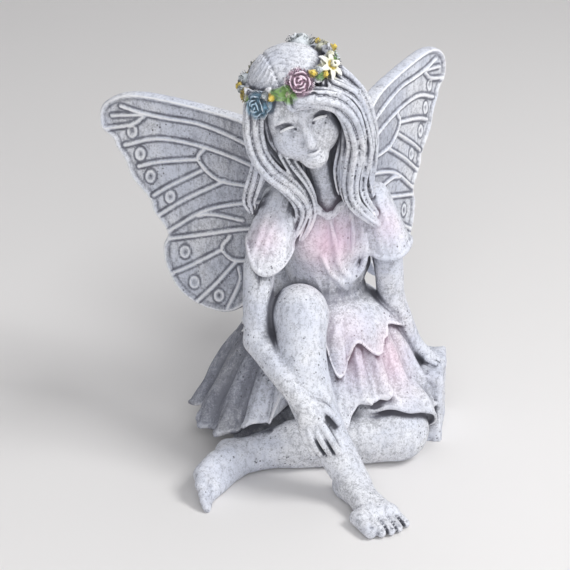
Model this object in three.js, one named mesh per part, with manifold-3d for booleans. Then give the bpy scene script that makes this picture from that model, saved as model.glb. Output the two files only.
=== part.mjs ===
// Seated garden fairy, cast in one piece in resin: the girl, her wings, the flower crown and the
// low rock she sits on are one solid. Millimetres, +Z up, the front faces -Y, origin on the ground
// under the middle of the figure.
//
// The figure is sculpted as a distance field: rounded limbs, locks, cloth and wings are blended one
// after the other, the zero surface is meshed, thinned to facets and cut flat at the ground.

import * as THREE from 'three';
import Module from 'manifold-3d';

// Driving sizes, mm
const FIGURE_HEIGHT = 150;
const HEAD_HEIGHT = 38.4;
const SHOULDER_WIDTH = 39;
const ARM_THICKNESS = 10.6;
const LEG_THICKNESS = 16.4;
const FINGER_THICKNESS = 2.7;
const TOE_THICKNESS = 4.2;
const FOOT_LENGTH = 29;
const SLEEVE_WIDTH = 15;
const SKIRT_RADIUS = 43.5;
const SKIRT_FOLD_DEPTH = 1.9;
const HEM_BEAD = 1.9;
const COLLAR_THICKNESS = 2.4;
const PETAL_THICKNESS = 1.8;
const WING_LENGTH = 82.5;
const WING_THICKNESS = 3.6;
const WING_RIM_WIDTH = 2.2;
const VEIN_HEIGHT = 0.9;
const VEIN_WIDTH = 1.3;
const LOCK_THICKNESS = 5.2;
const HAIR_GROOVE_DEPTH = 0.5;
const CROWN_RADIUS = 14.2;
const ROSE_WIDTH = 9.4;
const SEAT_BLOCK_HEIGHT = 25.4;
const ROCK_ROUGHNESS = 0.35;

// Fineness of the facets: spacing of the sampled field, mm, and the facets kept
const FIELD_STEP = 1.3;
const FACETS = 8600;

// The pose is drawn 145.65 units high; U is one drawn unit in millimetres
const U = FIGURE_HEIGHT / 145.65;
const head = HEAD_HEIGHT / U / 35;
const shoulders = SHOULDER_WIDTH / U;
const arm = ARM_THICKNESS / U / 2;
const leg = LEG_THICKNESS / U / 2;
const finger = FINGER_THICKNESS / U / 2;
const toe = TOE_THICKNESS / U / 2;
const foot = FOOT_LENGTH / U / 28;
const skirt = SKIRT_RADIUS / U;
const wing = WING_LENGTH / U / 79.8;
const lock = LOCK_THICKNESS / U / 2;
const rose = ROSE_WIDTH / U / 2;

// Vectors
const { sin, cos, atan2, hypot, abs, min, max, sqrt, exp, floor, ceil, PI } = Math;
const clamp = (v, lo, hi) => (v < lo ? lo : v > hi ? hi : v);
const mix = (a, b, t) => a + (b - a) * t;
const rad = (degrees) => (degrees * PI) / 180;
const plus = (a, b) => [a[0] + b[0], a[1] + b[1], a[2] + b[2]];
const minus = (a, b) => [a[0] - b[0], a[1] - b[1], a[2] - b[2]];
const times = (a, k) => [a[0] * k, a[1] * k, a[2] * k];
const lerp = (a, b, t) => [mix(a[0], b[0], t), mix(a[1], b[1], t), mix(a[2], b[2], t)];
const dot = (a, b) => a[0] * b[0] + a[1] * b[1] + a[2] * b[2];
const cross = (a, b) => [
  a[1] * b[2] - a[2] * b[1],
  a[2] * b[0] - a[0] * b[2],
  a[0] * b[1] - a[1] * b[0],
];
const size = (a) => sqrt(a[0] * a[0] + a[1] * a[1] + a[2] * a[2]);
const apart = (a, b) => size(minus(a, b));
const unit = (a) => times(a, 1 / size(a));

// Primitives: each returns { lo, hi, f } with f(x, y, z) the signed distance
function around(points, reach) {
  const lo = [Infinity, Infinity, Infinity];
  const hi = [-Infinity, -Infinity, -Infinity];
  for (const p of points)
    for (let i = 0; i < 3; i++) {
      lo[i] = min(lo[i], p[i] - reach);
      hi[i] = max(hi[i], p[i] + reach);
    }
  return { lo, hi };
}

function cone(a, b, ra, rb) {
  const [ax, ay, az] = a;
  const [bx, by, bz] = minus(b, a);
  const square = max(bx * bx + by * by + bz * bz, 1e-9);
  const f = (x, y, z) => {
    const px = x - ax;
    const py = y - ay;
    const pz = z - az;
    const t = clamp((px * bx + py * by + pz * bz) / square, 0, 1);
    const qx = px - bx * t;
    const qy = py - by * t;
    const qz = pz - bz * t;
    return sqrt(qx * qx + qy * qy + qz * qz) - ra - (rb - ra) * t;
  };
  return { ...around([a, b], max(ra, rb)), f };
}

// An egg with half sizes r along the three columns of the frame (unit axes)
const UPRIGHT = [
  [1, 0, 0],
  [0, 1, 0],
  [0, 0, 1],
];
function egg(c, r, axes = UPRIGHT) {
  const [ex, ey, ez] = axes;
  const f = (x, y, z) => {
    const px = x - c[0];
    const py = y - c[1];
    const pz = z - c[2];
    const a = (px * ex[0] + py * ex[1] + pz * ex[2]) / r[0];
    const b = (px * ey[0] + py * ey[1] + pz * ey[2]) / r[1];
    const d = (px * ez[0] + py * ez[1] + pz * ez[2]) / r[2];
    const k0 = sqrt(a * a + b * b + d * d);
    const k1 = sqrt((a * a) / (r[0] * r[0]) + (b * b) / (r[1] * r[1]) + (d * d) / (r[2] * r[2]));
    return k1 < 1e-9 ? -min(...r) : (k0 * (k0 - 1)) / k1;
  };
  return { ...around([c], max(...r)), f };
}

// A flat strip from a to b, half widths wa and wb along side, thick in the third direction
function strip(a, b, side, wa, wb, thick, round = 0.6) {
  const along = unit(minus(b, a));
  const length = apart(b, a);
  const across = unit(minus(side, times(along, dot(side, along))));
  const up = cross(along, across);
  const f = (x, y, z) => {
    const p = [x - a[0], y - a[1], z - a[2]];
    const s = dot(p, along);
    const w = mix(wa, wb, clamp(s / length, 0, 1));
    const qx = abs(s - length / 2) - length / 2 + round;
    const qy = abs(dot(p, across)) - w + round;
    const qz = abs(dot(p, up)) - thick / 2 + round;
    const outside = hypot(max(qx, 0), max(qy, 0), max(qz, 0));
    return outside + min(max(qx, qy, qz), 0) - round;
  };
  return { ...around([a, b], max(wa, wb) + thick), f };
}

// A smooth run through the points
function through(points, count) {
  const curve = new THREE.CatmullRomCurve3(points.map((p) => new THREE.Vector3(...p)));
  return curve.getPoints(count).map((p) => [p.x, p.y, p.z]);
}

// A tube through the points; radius is a function of the share of the way along
function tube(points, radius, count = points.length * 2) {
  const run = through(points, count);
  const pieces = [];
  for (let i = 0; i < count; i++)
    pieces.push(cone(run[i], run[i + 1], radius(i / count), radius((i + 1) / count)));
  const lo = [0, 1, 2].map((i) => min(...pieces.map((p) => p.lo[i])));
  const hi = [0, 1, 2].map((i) => max(...pieces.map((p) => p.hi[i])));
  const f = (x, y, z) => {
    let d = Infinity;
    for (const p of pieces) d = min(d, p.f(x, y, z));
    return d;
  };
  return { lo, hi, f };
}

// Frame of a turned piece: columns of world = Ry(roll) Rz(yaw) Rx(pitch)
function turned(roll, yaw, pitch) {
  const m = new THREE.Matrix4()
    .makeRotationY(rad(roll))
    .multiply(new THREE.Matrix4().makeRotationZ(rad(yaw)))
    .multiply(new THREE.Matrix4().makeRotationX(rad(pitch)));
  const e = m.elements;
  return [
    [e[0], e[1], e[2]],
    [e[4], e[5], e[6]],
    [e[8], e[9], e[10]],
  ];
}

// The figure: each piece is blended (blend > 0) or cut (blend < 0) into what is there before it
const pieces = [];
const add = (piece, blend = 1.5) => pieces.push({ ...piece, blend });
const carve = (piece, blend = 1) => pieces.push({ ...piece, blend: -blend });

// Low rock under the skirt, and the squared block at her left hand
function roughness(x, y, z) {
  const wave = sin(x * 0.9 + z * 0.5) * sin(y * 0.8 - z * 0.7) + sin(x * 0.37 + y * 0.41);
  return (ROCK_ROUGHNESS / U) * wave;
}
function rock(c, half, turn, round) {
  const ca = cos(rad(turn));
  const sa = sin(rad(turn));
  const f = (x, y, z) => {
    const px = (x - c[0]) * ca + (y - c[1]) * sa;
    const py = (y - c[1]) * ca - (x - c[0]) * sa;
    const qx = abs(px) - half[0] + round;
    const qy = abs(py) - half[1] + round;
    const qz = abs(z - c[2]) - half[2] + round;
    const outside = hypot(max(qx, 0), max(qy, 0), max(qz, 0));
    return outside + min(max(qx, qy, qz), 0) - round + roughness(x, y, z);
  };
  return { ...around([c], hypot(...half)), f };
}
const block = SEAT_BLOCK_HEIGHT / U;
add(rock([41.5, 38, block / 2 - 2], [13, 12.5, block / 2 + 2], -8, 1.2), 0.1);
add(rock([14, 41, 3], [31, 22, 11], 0, 9), 3);

// Skirt: a bell round the hips, folded, with a wavy hem; the cloth spreads from the waist
const HIP = [12, 38];
const WAIST_Z = 54;
const hemHeights = [
  [-180, 9],
  [-165, 11.4],
  [-158, 7.6],
  [-148, 8.8],
  [-136, 11],
  [-130, 15],
  [-125, 17.4],
  [-118, 17.4],
  [-112, 27],
  [-103, 33],
  [-95, 33],
  [-86, 26],
  [-79, 18.6],
  [-67, 25],
  [-60, 23.5],
  [-54, 24.3],
  [-45, 26.6],
  [-34, 22],
  [-24, 15],
  [-8, 13],
  [8, 17],
  [22, 12],
  [38, 6],
  [52, 8.5],
  [68, 5],
  [84, 8],
  [100, 4.6],
  [116, 8],
  [132, 4.6],
  [148, 8.4],
  [164, 6],
  [180, 9],
];
const foldAngles = [-176, -160, -143, -127, -112, -80, -66, -51, -36, -20, 6, 34, 58, 82, 106, 132, 156];
function onTable(table, t) {
  let i = 1;
  while (i < table.length - 1 && table[i][0] < t) i++;
  const [t0, v0] = table[i - 1];
  const [t1, v1] = table[i];
  const s = clamp((t - t0) / (t1 - t0), 0, 1);
  return mix(v0, v1, s * s * (3 - 2 * s));
}
function hemAt(angle) {
  return onTable(hemHeights, angle);
}
function foldAt(angle) {
  const last = foldAngles.length - 1;
  let i = 0;
  while (i <= last && foldAngles[i] < angle) i++;
  const start = i > 0 ? foldAngles[i - 1] : foldAngles[last] - 360;
  const end = i <= last ? foldAngles[i] : foldAngles[0] + 360;
  return cos((2 * PI * (angle - start)) / (end - start));
}
function hipAt(z) {
  const lean = clamp((z - 30) / 25, 0, 1);
  return [12 + 2 * lean, 38 - 6.5 * lean * lean * (3 - 2 * lean)];
}
function skirtRadius(angle, z) {
  const t = clamp((WAIST_Z - z) / 44, 0, 1.15);
  const back = clamp(sin(rad(angle)), 0, 1);
  const spread = 12 + (skirt - 12) * t ** 0.66 * (1 - 0.26 * back);
  return spread + (SKIRT_FOLD_DEPTH / U) * t * foldAt(angle);
}
const cover = cone([20, 34, 23], [38.2, 16.6, 12.6], 15, 12.6);
function overKnee(x, y, z) {
  const front = 29.2 - y - z + 0.9 * sin(0.42 * x) + 0.35 * max(30 - x, 0);
  return max(cover.f(x, y, z), front * 0.7, 7 - z, 24 - x);
}
const skirtPiece = {
  lo: [HIP[0] - skirt - 4, HIP[1] - skirt - 4, -4],
  hi: [HIP[0] + skirt + 4, HIP[1] + skirt + 2, WAIST_Z + 4],
  f: (x, y, z) => {
    const [hipX, hipY] = hipAt(z);
    const dx = x - hipX;
    const dy = y - hipY;
    const r = hypot(dx, dy);
    const angle = (atan2(dy, dx) * 180) / PI;
    const hem = hemAt(angle);
    const wall = (r - skirtRadius(angle, z)) * 0.72;
    const under = (hem - z) * 0.8;
    const bead = hypot(r - skirtRadius(angle, hem) + 0.4, (z - hem) * 0.9) - HEM_BEAD / U / 2;
    return min(max(wall, under, z - WAIST_Z), bead, overKnee(x, y, z));
  },
};
add(skirtPiece, 0.6);

// Overskirt: a shorter bell cut into pointed petals, the longest one beside the raised knee
const petal = PETAL_THICKNESS / U;
const petalHems = [
  [-180, 42],
  [-165, 40],
  [-140, 45],
  [-112, 46],
  [-93, 45],
  [-80, 33.5],
  [-66, 43.5],
  [-52, 38],
  [-30, 45],
  [-5, 40],
  [20, 45],
  [45, 39],
  [70, 45],
  [95, 39],
  [120, 45],
  [145, 40],
  [165, 44],
  [180, 42],
];
const overskirt = {
  lo: [HIP[0] - 30, HIP[1] - 36, 30],
  hi: [HIP[0] + 34, HIP[1] + 30, WAIST_Z + 5],
  f: (x, y, z) => {
    const [hipX, hipY] = hipAt(z);
    const angle = (atan2(y - hipY, x - hipX) * 180) / PI;
    const lift = petal * clamp((WAIST_Z - z) / 6, -0.6, 1);
    const wall = (hypot(x - hipX, y - hipY) - skirtRadius(angle, z) - lift) * 0.72;
    return max(wall, (onTable(petalHems, angle) - z) * 0.8, z - WAIST_Z - 1);
  },
};
add(overskirt, 0.3);

// Folded leg on the ground: thigh, knee, calf and the foot lying on its side
add(cone([20, 34, 18], [38, 15, 10.4], 12.6, 9.6), 1.5);
add(egg([38.4, 13.6, 10.2], [9.4, 10.2, 9.8]), 1.5);
add(tube([[36, 12, 9.5], [20, 12.5, 7.8], [3, 8.5, 7.6], [-8, 5, 6.8], [-17, 0.5, 5.6]],
  (t) => leg * mix(1.12, 0.66, t) + 1.4 * sin(PI * clamp(t * 1.5, 0, 1)), 8), 2);
add(tube([[-13, 4, 7], [-18.5, 3.5, 7.2]], (t) => 4.6, 1), 2.5);
add(tube([[-17, 0.5, 6.5], [-22, -5, 7.4], [-26, -11.5, 7.2]], (t) => mix(5.4, 3.7, t), 2), 2);
add(tube([[-18, -1, 4], [-22, -10, 3.4], [-24.8, -16.5, 3]], (t) => mix(4.6, 3, t), 2), 2);
const foldedToes = [
  [[-26.3, -12, 8], [-26.8, -17.2, 6.6], 1.15],
  [[-25.4, -14, 5], [-26.4, -19.6, 4.6], 0.78],
  [[-25, -15.5, 3.8], [-26, -21.2, 3.2], 0.72],
  [[-24.6, -16.5, 2.6], [-25.4, -22.4, 2], 0.68],
  [[-24.2, -17, 1.6], [-24.8, -23, 1], 0.62],
];
for (const [from, to, size] of foldedToes) add(cone(from, to, toe * size, toe * size * 0.92), 0.5);

// Raised leg: thigh, bare knee, shin and the foot flat on the ground
add(cone([2, 33, 33], [4.5, 6, 56.5], leg * 1.62, leg * 1.14), 2.5);
add(egg([4.9, 3.4, 57.6], [leg * 1.06, leg * 1.12, leg * 1.14]), 2.5);
add(tube([[5.4, 1.6, 56], [5.4, -3.4, 43], [10.4, -9.4, 28], [18, -14.4, 14], [22.4, -15.2, 6.4]],
  (t) => leg * (mix(1.0, 0.66, t) + 0.1 * sin(PI * clamp(t * 1.6, 0, 1))), 10), 2);
const heel = [21, -13.4, 0];
const step = (x, y, z) => plus(heel, [x * foot, y * foot, z]);
add(cone(step(-0.6, 0.4, 4.4), step(1.6, -4, 5.6), 5.2, 4.9), 1.5);
add(cone(step(1.6, -4, 6), step(5.6, -16.5, 3), 4.8, 3.4), 1.5);
add(cone(step(2.4, -4, 4), step(11.6, -14.4, 2.6), 4.4, 2.8), 2);
add(cone(step(3.2, -18.4, 3), step(12.4, -13.6, 2.4), 3.3, 2.6), 1.5);
const frontToes = [
  [[1.6, -18.4, 3.2], [5.6, -25.4, 2.4], 1.2],
  [[6.0, -18.6, 3], [9.0, -25.2, 1.9], 0.84],
  [[9.0, -17.6, 2.8], [12, -23.9, 1.8], 0.8],
  [[11.7, -16.2, 2.6], [14.5, -22, 1.7], 0.76],
  [[14.0, -14.4, 2.4], [16.9, -19, 1.5], 0.72],
];
for (const [from, to, size] of frontToes)
  add(cone(step(...from), step(...to), toe * size, toe * size * 0.9), 0.5);

// Torso, leaning forward and turned a little to her left
const torsoFrame = turned(4, 17, 8);
add(egg([12, 38, 26], [19, 16, 16]), 3);
add(egg([13, 33.5, 44], [12.4, 10.6, 14], torsoFrame), 4);
add(egg([14.2, 31, 57], [12, 9.4, 12], torsoFrame), 4);
add(egg([13.8, 26, 75], [shoulders * 0.36, 10.2, 15], torsoFrame), 3);
const blouse = egg([14, 29.4, 65.5], [14.4, 10.8, 12.6], torsoFrame);
const gathers = (x, y, z) => {
  const swoop = 0.85 * (x - 14) + 0.012 * (z - 74) ** 2 * (x > 14 ? 1 : -1);
  return blouse.f(x, y, z) - 0.5 * sin(swoop) * clamp((y < 32 ? 1 : 0) * (84 - z) * 0.1, 0, 1);
};
add({ ...blouse, f: gathers }, 2);
add(cone([10, 34, 57], [1, 32, 56.6], 9, 6.4), 2.5);
add(egg([8.8, 20.8, 78], [6.2, 4.6, 7.4], torsoFrame), 5);
add(egg([19.2, 23.8, 76.6], [6.2, 4.6, 7.6], torsoFrame), 5);
const chestTop = [13.6, 22.5, 88.4];
const across = unit([36.9, 12, -4.4]);
const rightShoulder = plus(chestTop, times(across, -shoulders * 0.42));
const leftShoulder = plus(chestTop, times(across, shoulders * 0.42));
add(cone(rightShoulder, chestTop, arm * 1.05, arm * 1.3), 3);
add(cone(leftShoulder, chestTop, arm * 1.05, arm * 1.3), 3);
add(cone([13.4, 21, 91], [8.6, 12, 112], 5.1, 4.9), 2.5);

// Her right arm, down to the hand on the shin
const rightElbow = [-8.4, 3, 48.4];
const rightWrist = [6.2, -15, 34];
add(tube([rightShoulder, [-8.2, 8.6, 72], rightElbow], (t) => arm * mix(1.06, 0.9, t), 4), 1.5);
add(tube([rightElbow, [-3, -5.5, 43.6], rightWrist], (t) => arm * mix(0.98, 0.66, t), 4), 1.2);
const onShin = (p) => plus(p, [0, 3.4, -1.5]);
add(egg(onShin([8.6, -20.4, 31.4]), [4.4, 2.6, 5.4], turned(-35, 10, 12)), 1.2);
const fingers = [
  [[5.4, -20.6, 29.2], [6.4, -21.8, 25.8], [9.4, -20.8, 19.8]],
  [[7.4, -21.8, 29], [8.9, -23.2, 25], [11.4, -22, 20.2]],
  [[9.6, -22.2, 29.2], [11.9, -23.8, 25.4], [14.2, -22.6, 20.8]],
  [[11.6, -22.2, 30.4], [14.6, -23.8, 26.2], [17, -22.4, 20.8]],
];
for (const run of fingers) add(tube(run.map(onShin), (t) => finger * mix(1.1, 0.85, t), 3), 0.45);
add(tube([[8.8, -19, 36], [13.4, -19.4, 34.6], [16.9, -20, 30.4]].map(onShin),
  (t) => finger * mix(1.3, 0.9, t), 3), 0.8);

// Her left arm, propped on the block
const leftElbow = [35.2, 31.6, 50.5];
const leftWrist = [43, 35.4, 31.6];
add(tube([leftShoulder, [33.4, 27, 70], leftElbow], (t) => arm * mix(1.06, 0.88, t), 4), 1.5);
add(tube([leftElbow, leftWrist], (t) => arm * mix(0.92, 0.66, t), 1), 1.2);
add(cone(leftWrist, [48.6, 36.4, 26.4], arm * 0.62, arm * 0.5), 1.5);
const spread = [
  [[48, 34, 26.2], [52, 32.6, 24.4]],
  [[49, 36, 26.2], [53.8, 35.8, 23.8]],
  [[49, 38, 26], [53.8, 38.8, 23.6]],
  [[48, 40, 25.8], [52, 42, 24]],
];
for (const [from, to] of spread) add(cone(from, to, finger * 1.05, finger * 0.9), 0.6);

// Petal sleeves: flared caps over the upper arms, cut to a point below
function sleeve(top, low, width, point, fall) {
  const cap = cone(top, low, width * 0.44, width * 0.56);
  const side = unit(cross(minus(low, top), [0, 1, 0]));
  const f = (x, y, z) => {
    const off = abs((x - point[0]) * side[0] + (y - point[1]) * side[1] + (z - point[2]) * side[2]);
    const edge = point[2] + off * off * fall - z;
    return max(cap.f(x, y, z), edge * 0.8);
  };
  return { lo: cap.lo, hi: cap.hi, f };
}
const sleeveWidth = SLEEVE_WIDTH / U;
add(sleeve(plus(rightShoulder, [0.6, 0, 0.4]), [-6.6, 8.2, 73.4], sleeveWidth, [-5.8, 6, 72], 0.1), 0.3);
add(sleeve(plus(leftShoulder, [-0.2, 0, 0.2]), [33.6, 26.2, 71.4], sleeveWidth,
  [33.6, 24, 69.4], 0.05), 0.3);

// Folded collar at the neck, meeting in a V
const collar = COLLAR_THICKNESS / U / 2;
const collarRun = [[3.6, 17.6, 94.6], [8, 13.2, 92], [13.6, 12.4, 87.4], [18.4, 14.4, 91],
  [21.4, 19, 94.4]];
add(tube(collarRun, () => collar, 8), 0.4);

// Wings: the outline runs along the wing (first number) and up (second number)
const wingOutline = [
  [3, 92], [14, 103], [25, 110.2], [40.5, 113], [59, 114.6], [68.5, 114.2], [74, 112.3], [78.4, 109],
  [79.8, 104.6], [78.8, 100.4], [74.6, 97.4], [73.8, 94.8], [70.6, 90.6], [68.1, 84.4], [61.6, 77.6],
  [60.6, 73.8], [55.4, 66.8], [57.2, 61.5], [56.1, 54.1], [51.5, 46.3], [44.3, 42], [36, 40.7],
  [30, 42.4], [23, 48.5], [16, 59], [6, 70], [1, 80],
];
const wingVeins = [
  [[12, 92], [22.4, 100.8], [40.7, 106.6], [55.5, 107.3], [64, 107.9], [71.5, 109.3]],
  [[63.5, 107.3], [68.8, 106.6], [75, 105.5]],
  [[63.1, 106.7], [67.9, 103.3], [77.9, 100.6]],
  [[12, 88], [22.4, 94.6], [40.8, 99.1], [57.6, 99.8], [70.6, 95.7]],
  [[41, 99], [43.3, 94.4], [36.3, 88.5], [23.4, 88]],
  [[43.2, 94.7], [57.4, 91.7], [65.6, 88.9]],
  [[42.3, 90.8], [54.3, 83.5], [60.1, 79.4]],
  [[34, 88.4], [48.2, 79.9], [58.4, 72.5]],
  [[14, 84], [26.2, 81.9], [41.2, 76.8], [55.7, 66.6]],
  [[12, 76], [28.3, 72.2], [40, 68.7], [54.9, 64.4]],
  [[32.3, 69], [35.1, 64.1], [30, 60.6], [18, 64]],
  [[35.2, 63.7], [46, 56.5], [54, 51.8]],
  [[30, 60.3], [37.9, 50.5], [44.5, 43.4]],
  [[29.1, 58.2], [28.7, 53.3], [33.3, 42.6]],
];
function along2(points, closed, count) {
  const flat = points.map(([u, v]) => new THREE.Vector3(u * wing, mix(80, v, wing), 0));
  const run = new THREE.CatmullRomCurve3(flat, closed, 'centripetal').getPoints(count);
  return run.map((p) => [p.x, p.y]);
}
function gap2(u, v, a, b) {
  const dx = b[0] - a[0];
  const dy = b[1] - a[1];
  const t = clamp(((u - a[0]) * dx + (v - a[1]) * dy) / (dx * dx + dy * dy + 1e-9), 0, 1);
  return hypot(u - a[0] - dx * t, v - a[1] - dy * t);
}
const outline = along2(wingOutline, true, 72);
const veins = wingVeins.map((run) => along2(run, false, run.length * 2));
function outlineDistance(u, v) {
  let d = Infinity;
  let inside = false;
  for (let i = 0, j = outline.length - 1; i < outline.length; j = i++) {
    const [ax, ay] = outline[i];
    const [bx, by] = outline[j];
    d = min(d, gap2(u, v, outline[i], outline[j]));
    if (ay > v !== by > v && u < ((bx - ax) * (v - ay)) / (by - ay) + ax) inside = !inside;
  }
  return inside ? -d : d;
}
function veinDistance(u, v) {
  let d = Infinity;
  for (const run of veins)
    for (let i = 1; i < run.length; i++) d = min(d, gap2(u, v, run[i - 1], run[i]));
  return d;
}
function wingPiece(root, bearing, lift) {
  const along = [cos(rad(bearing)), sin(rad(bearing))];
  const f = (x, y, z) => {
    const u = (x - root[0]) * along[0] + (y - root[1]) * along[1];
    const n = (y - root[1]) * along[0] - (x - root[0]) * along[1];
    const edge = outlineDistance(u, z - lift);
    if (edge > 5 || abs(n) > 8) return max(edge, abs(n) - 3);
    const rim = exp(-(((edge + 1.2) / (WING_RIM_WIDTH / U / 1.6)) ** 2));
    const vein = exp(-((veinDistance(u, z - lift) / (VEIN_WIDTH / U / 1.2)) ** 2));
    const raised = (VEIN_HEIGHT / U) * max(rim, vein);
    const half = WING_THICKNESS / U / 2 - 0.5 + 1.6 * exp(-u / 14) + raised;
    const qx = edge + 0.8;
    const qy = abs(n) - half + 0.8;
    return hypot(max(qx, 0), max(qy, 0)) + min(max(qx, qy), 0) - 0.8;
  };
  const reach = max(...outline.map(([u]) => u));
  const low = min(...outline.map(([, v]) => v));
  const high = max(...outline.map(([, v]) => v));
  const tip = [root[0] + along[0] * reach, root[1] + along[1] * reach, high + lift];
  return { ...around([[root[0], root[1], low + lift], tip], 5), f };
}
add(wingPiece([12, 29], 157, 0), 2);
add(wingPiece([17, 32.6], 61.4, 4), 2);

// Head: skull, face and jaw in its own tilted frame; hair is a grooved cap round it
const HEAD = [3.8, 6.4, 126.2];
const headFrame = turned(-18.5, 6, 9);
function fromHead(x, y, z) {
  const [ex, ey, ez] = headFrame;
  return plus(HEAD, plus(plus(times(ex, x * head), times(ey, y * head)), times(ez, z * head)));
}
function inHead(x, y, z) {
  const p = [x - HEAD[0], y - HEAD[1], z - HEAD[2]];
  return headFrame.map((axis) => dot(p, axis) / head);
}
const headEgg = (c, r) => add(egg(fromHead(...c), times(r, head), headFrame), 1.2);
headEgg([0, 1.5, 3], [12, 13, 12.6]);
headEgg([0, -3, -4.6], [10.8, 8.8, 11]);
headEgg([0, -7.6, -12.6], [4.2, 4.2, 4]);
headEgg([-5, -6.8, -5.6], [4.8, 4, 5.2]);
headEgg([5, -6.8, -5.6], [4.8, 4, 5.2]);
add(cone(fromHead(0, -11.4, -0.4), fromHead(0, -13.2, -5.8), 1, 1.5), 1.6);
add(cone(fromHead(-1.7, -11.2, -10), fromHead(1.7, -11.2, -10), 0.9, 0.9), 1.4);
carve(egg(fromHead(-4.6, -12.4, -0.6), times([2.6, 1.7, 1.5], head), headFrame), 1.2);
carve(egg(fromHead(4.6, -12.4, -0.6), times([2.6, 1.7, 1.5], head), headFrame), 1.2);
add(egg(fromHead(-4.6, -9.8, -0.8), times([2.1, 1.7, 1.4], head), headFrame), 0.3);
add(egg(fromHead(4.6, -9.8, -0.8), times([2.1, 1.7, 1.4], head), headFrame), 0.3);
const hairCap = around([HEAD], 20 * head);
hairCap.f = (x, y, z) => {
  const [a, b, c] = inHead(x, y, z);
  const k0 = hypot(a / 13.9, (b - 2.8) / 14.4, (c - 2.4) / 15.4);
  const groove = sin(5.2 * hypot(a, b * 0.4) + 0.35 * c) * HAIR_GROOVE_DEPTH;
  const shell = (k0 - 1) * 14.2 + groove;
  const opening = hypot(a / 10.5, (b + 16) / 14, (c + 5) / 13.6) * 10 - 10;
  return max(shell, -opening) * head;
};
add(hairCap, 0.7);

// Long hair: front locks over the shoulders and a grooved fall down the back
const locks = [
  [[[3, -9.6, 133.4], [9.5, -9.6, 134.4], [15.4, -7.4, 132.4], [19.4, -4, 127], [21.2, 0, 120.5],
    [22, 2.4, 115], [21, 5, 108], [20.3, 8, 100.5], [21.3, 10, 94], [24.6, 12.4, 89],
    [29.4, 16, 83.4]], 1.15],
  [[[13, -5, 137], [20, -0.8, 131.6], [23.8, 4, 121.4], [25, 7.4, 112], [23.9, 10, 104],
    [23.4, 12.4, 97.7], [25.4, 14, 91.6], [29, 18, 86]], 1],
  [[[16, 3, 137.6], [22.4, 7, 130], [26, 11.6, 117.3], [26.8, 14.6, 106.6], [26.4, 17, 99.5],
    [27.6, 20, 92]], 1],
  [[[16.4, -3.6, 130], [19.4, 0.6, 123.4], [20, 4.4, 116.2], [19, 8, 106.2], [18.8, 11.6, 98.1],
    [19.5, 13.4, 92]], 0.75],
  [[[19, 3.6, 121.5], [18.6, 7.4, 112.5], [17, 11.4, 103.7], [17.6, 14.6, 94.7]], 0.8],
  [[[-9.4, -4, 129], [-9.6, -2, 120.3], [-7.8, -0.4, 112.5], [-4, 1, 106.5], [1.3, 4, 100.8],
    [4.5, 8, 95], [5.4, 11, 90.3], [4.2, 12.6, 84.8], [1.7, 12, 79.9]], 1.1],
  [[[-0.3, 1, 113.7], [1.9, 4, 107.7], [5.3, 7.4, 101], [7.6, 10.6, 94.2], [8.2, 13, 88.5],
    [6.9, 14, 83.3], [5.1, 14, 79.1]], 0.8],
  [[[-6.8, 7, 112.1], [-8, 9.6, 104.1], [-10.1, 12.4, 97.3], [-11.4, 14, 92.5], [-10.4, 14.6, 88.4]], 1],
  [[[-7, 0, 125.4], [-5.4, 2, 116.6], [-0.4, 4.4, 109.3], [3, 8.4, 103], [4.7, 12, 97.2]], 0.9],
];
for (const [run, size] of locks) add(tube(run,
  (t) => lock * size * (1.05 - 0.55 * t ** 3), run.length * 2), 0.6);
const fall = [[8, 15, 124], [12, 23, 112], [16, 31, 100], [19, 35.6, 88], [20, 38, 76]];
add(tube(fall, (t) => mix(11.5, 5.5, t), 8), 2);
for (let i = -3; i <= 3; i++) {
  const strand = fall.map((p, k) => plus(p, [i * (3.4 - 0.45 * k), (10.8 - 1.6 * k) * cos(i * 0.42), 0]));
  add(tube(strand, (t) => lock * mix(1.05, 0.8, t), 8), 0.5);
}

// Flower crown: twisted band with roses, a lily, small blooms and leaves round it
const crown = CROWN_RADIUS / U;
const CROWN = plus(HEAD, times([-2.7, -1.8, 10.9], head));
const crownFrame = turned(-24, 0, 3);
function onCrown(angle, out = 0, up = 0) {
  const [ex, ey, ez] = crownFrame;
  const r = crown + out;
  const place = plus(times(ex, r * sin(rad(angle))), times(ey, -r * cos(rad(angle))));
  return plus(CROWN, plus(place, times(ez, up)));
}
const ring = [];
for (let a = 0; a < 360; a += 30) ring.push(onCrown(a, 0, 0.5 * sin(rad(3 * a))));
ring.push(ring[0]);
add(tube(ring, () => 1.7, 24), 0.6);
function bloom(centre, out, size, petals) {
  add(egg(centre, [size * 0.72, size * 0.72, size * 0.72]), 0.6);
  const side = unit(cross(out, [0.3, 0.2, 1]));
  const over = cross(side, out);
  for (let k = 0; k < petals; k++) {
    const a = (2 * PI * k) / petals;
    const away = plus(times(side, cos(a)), times(over, sin(a)));
    const tip = plus(centre, plus(times(away, size * 0.66), times(out, -size * 0.08)));
    const frame = [away, cross(out, away), out];
    add(egg(tip, [size * 0.36, size * 0.46, size * 0.34], frame), 0.25);
  }
  add(egg(plus(centre, times(out, size * 0.5)), [size * 0.3, size * 0.3, size * 0.34]), 0.3);
}
function outward(angle, up = 0.35) {
  const flat = unit(minus(onCrown(angle, 1), onCrown(angle, 0)));
  return unit(plus(flat, times(crownFrame[2], up)));
}
const blooms = [
  [-44, 1.4, -2.2, 1.05],
  [14, 1.2, 0.8, 1.05],
  [59, 1.2, -0.8, 1],
  [84, 1, -1, 0.62],
  [122, 0.8, 0.6, 0.62],
  [158, 1, 2, 1.1],
  [-172, 0.8, 1.6, 0.7],
  [-138, 0.8, 1.6, 0.7],
  [-109, 0.8, 1.6, 0.7],
  [-80, 1, -0.8, 0.62],
];
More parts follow.
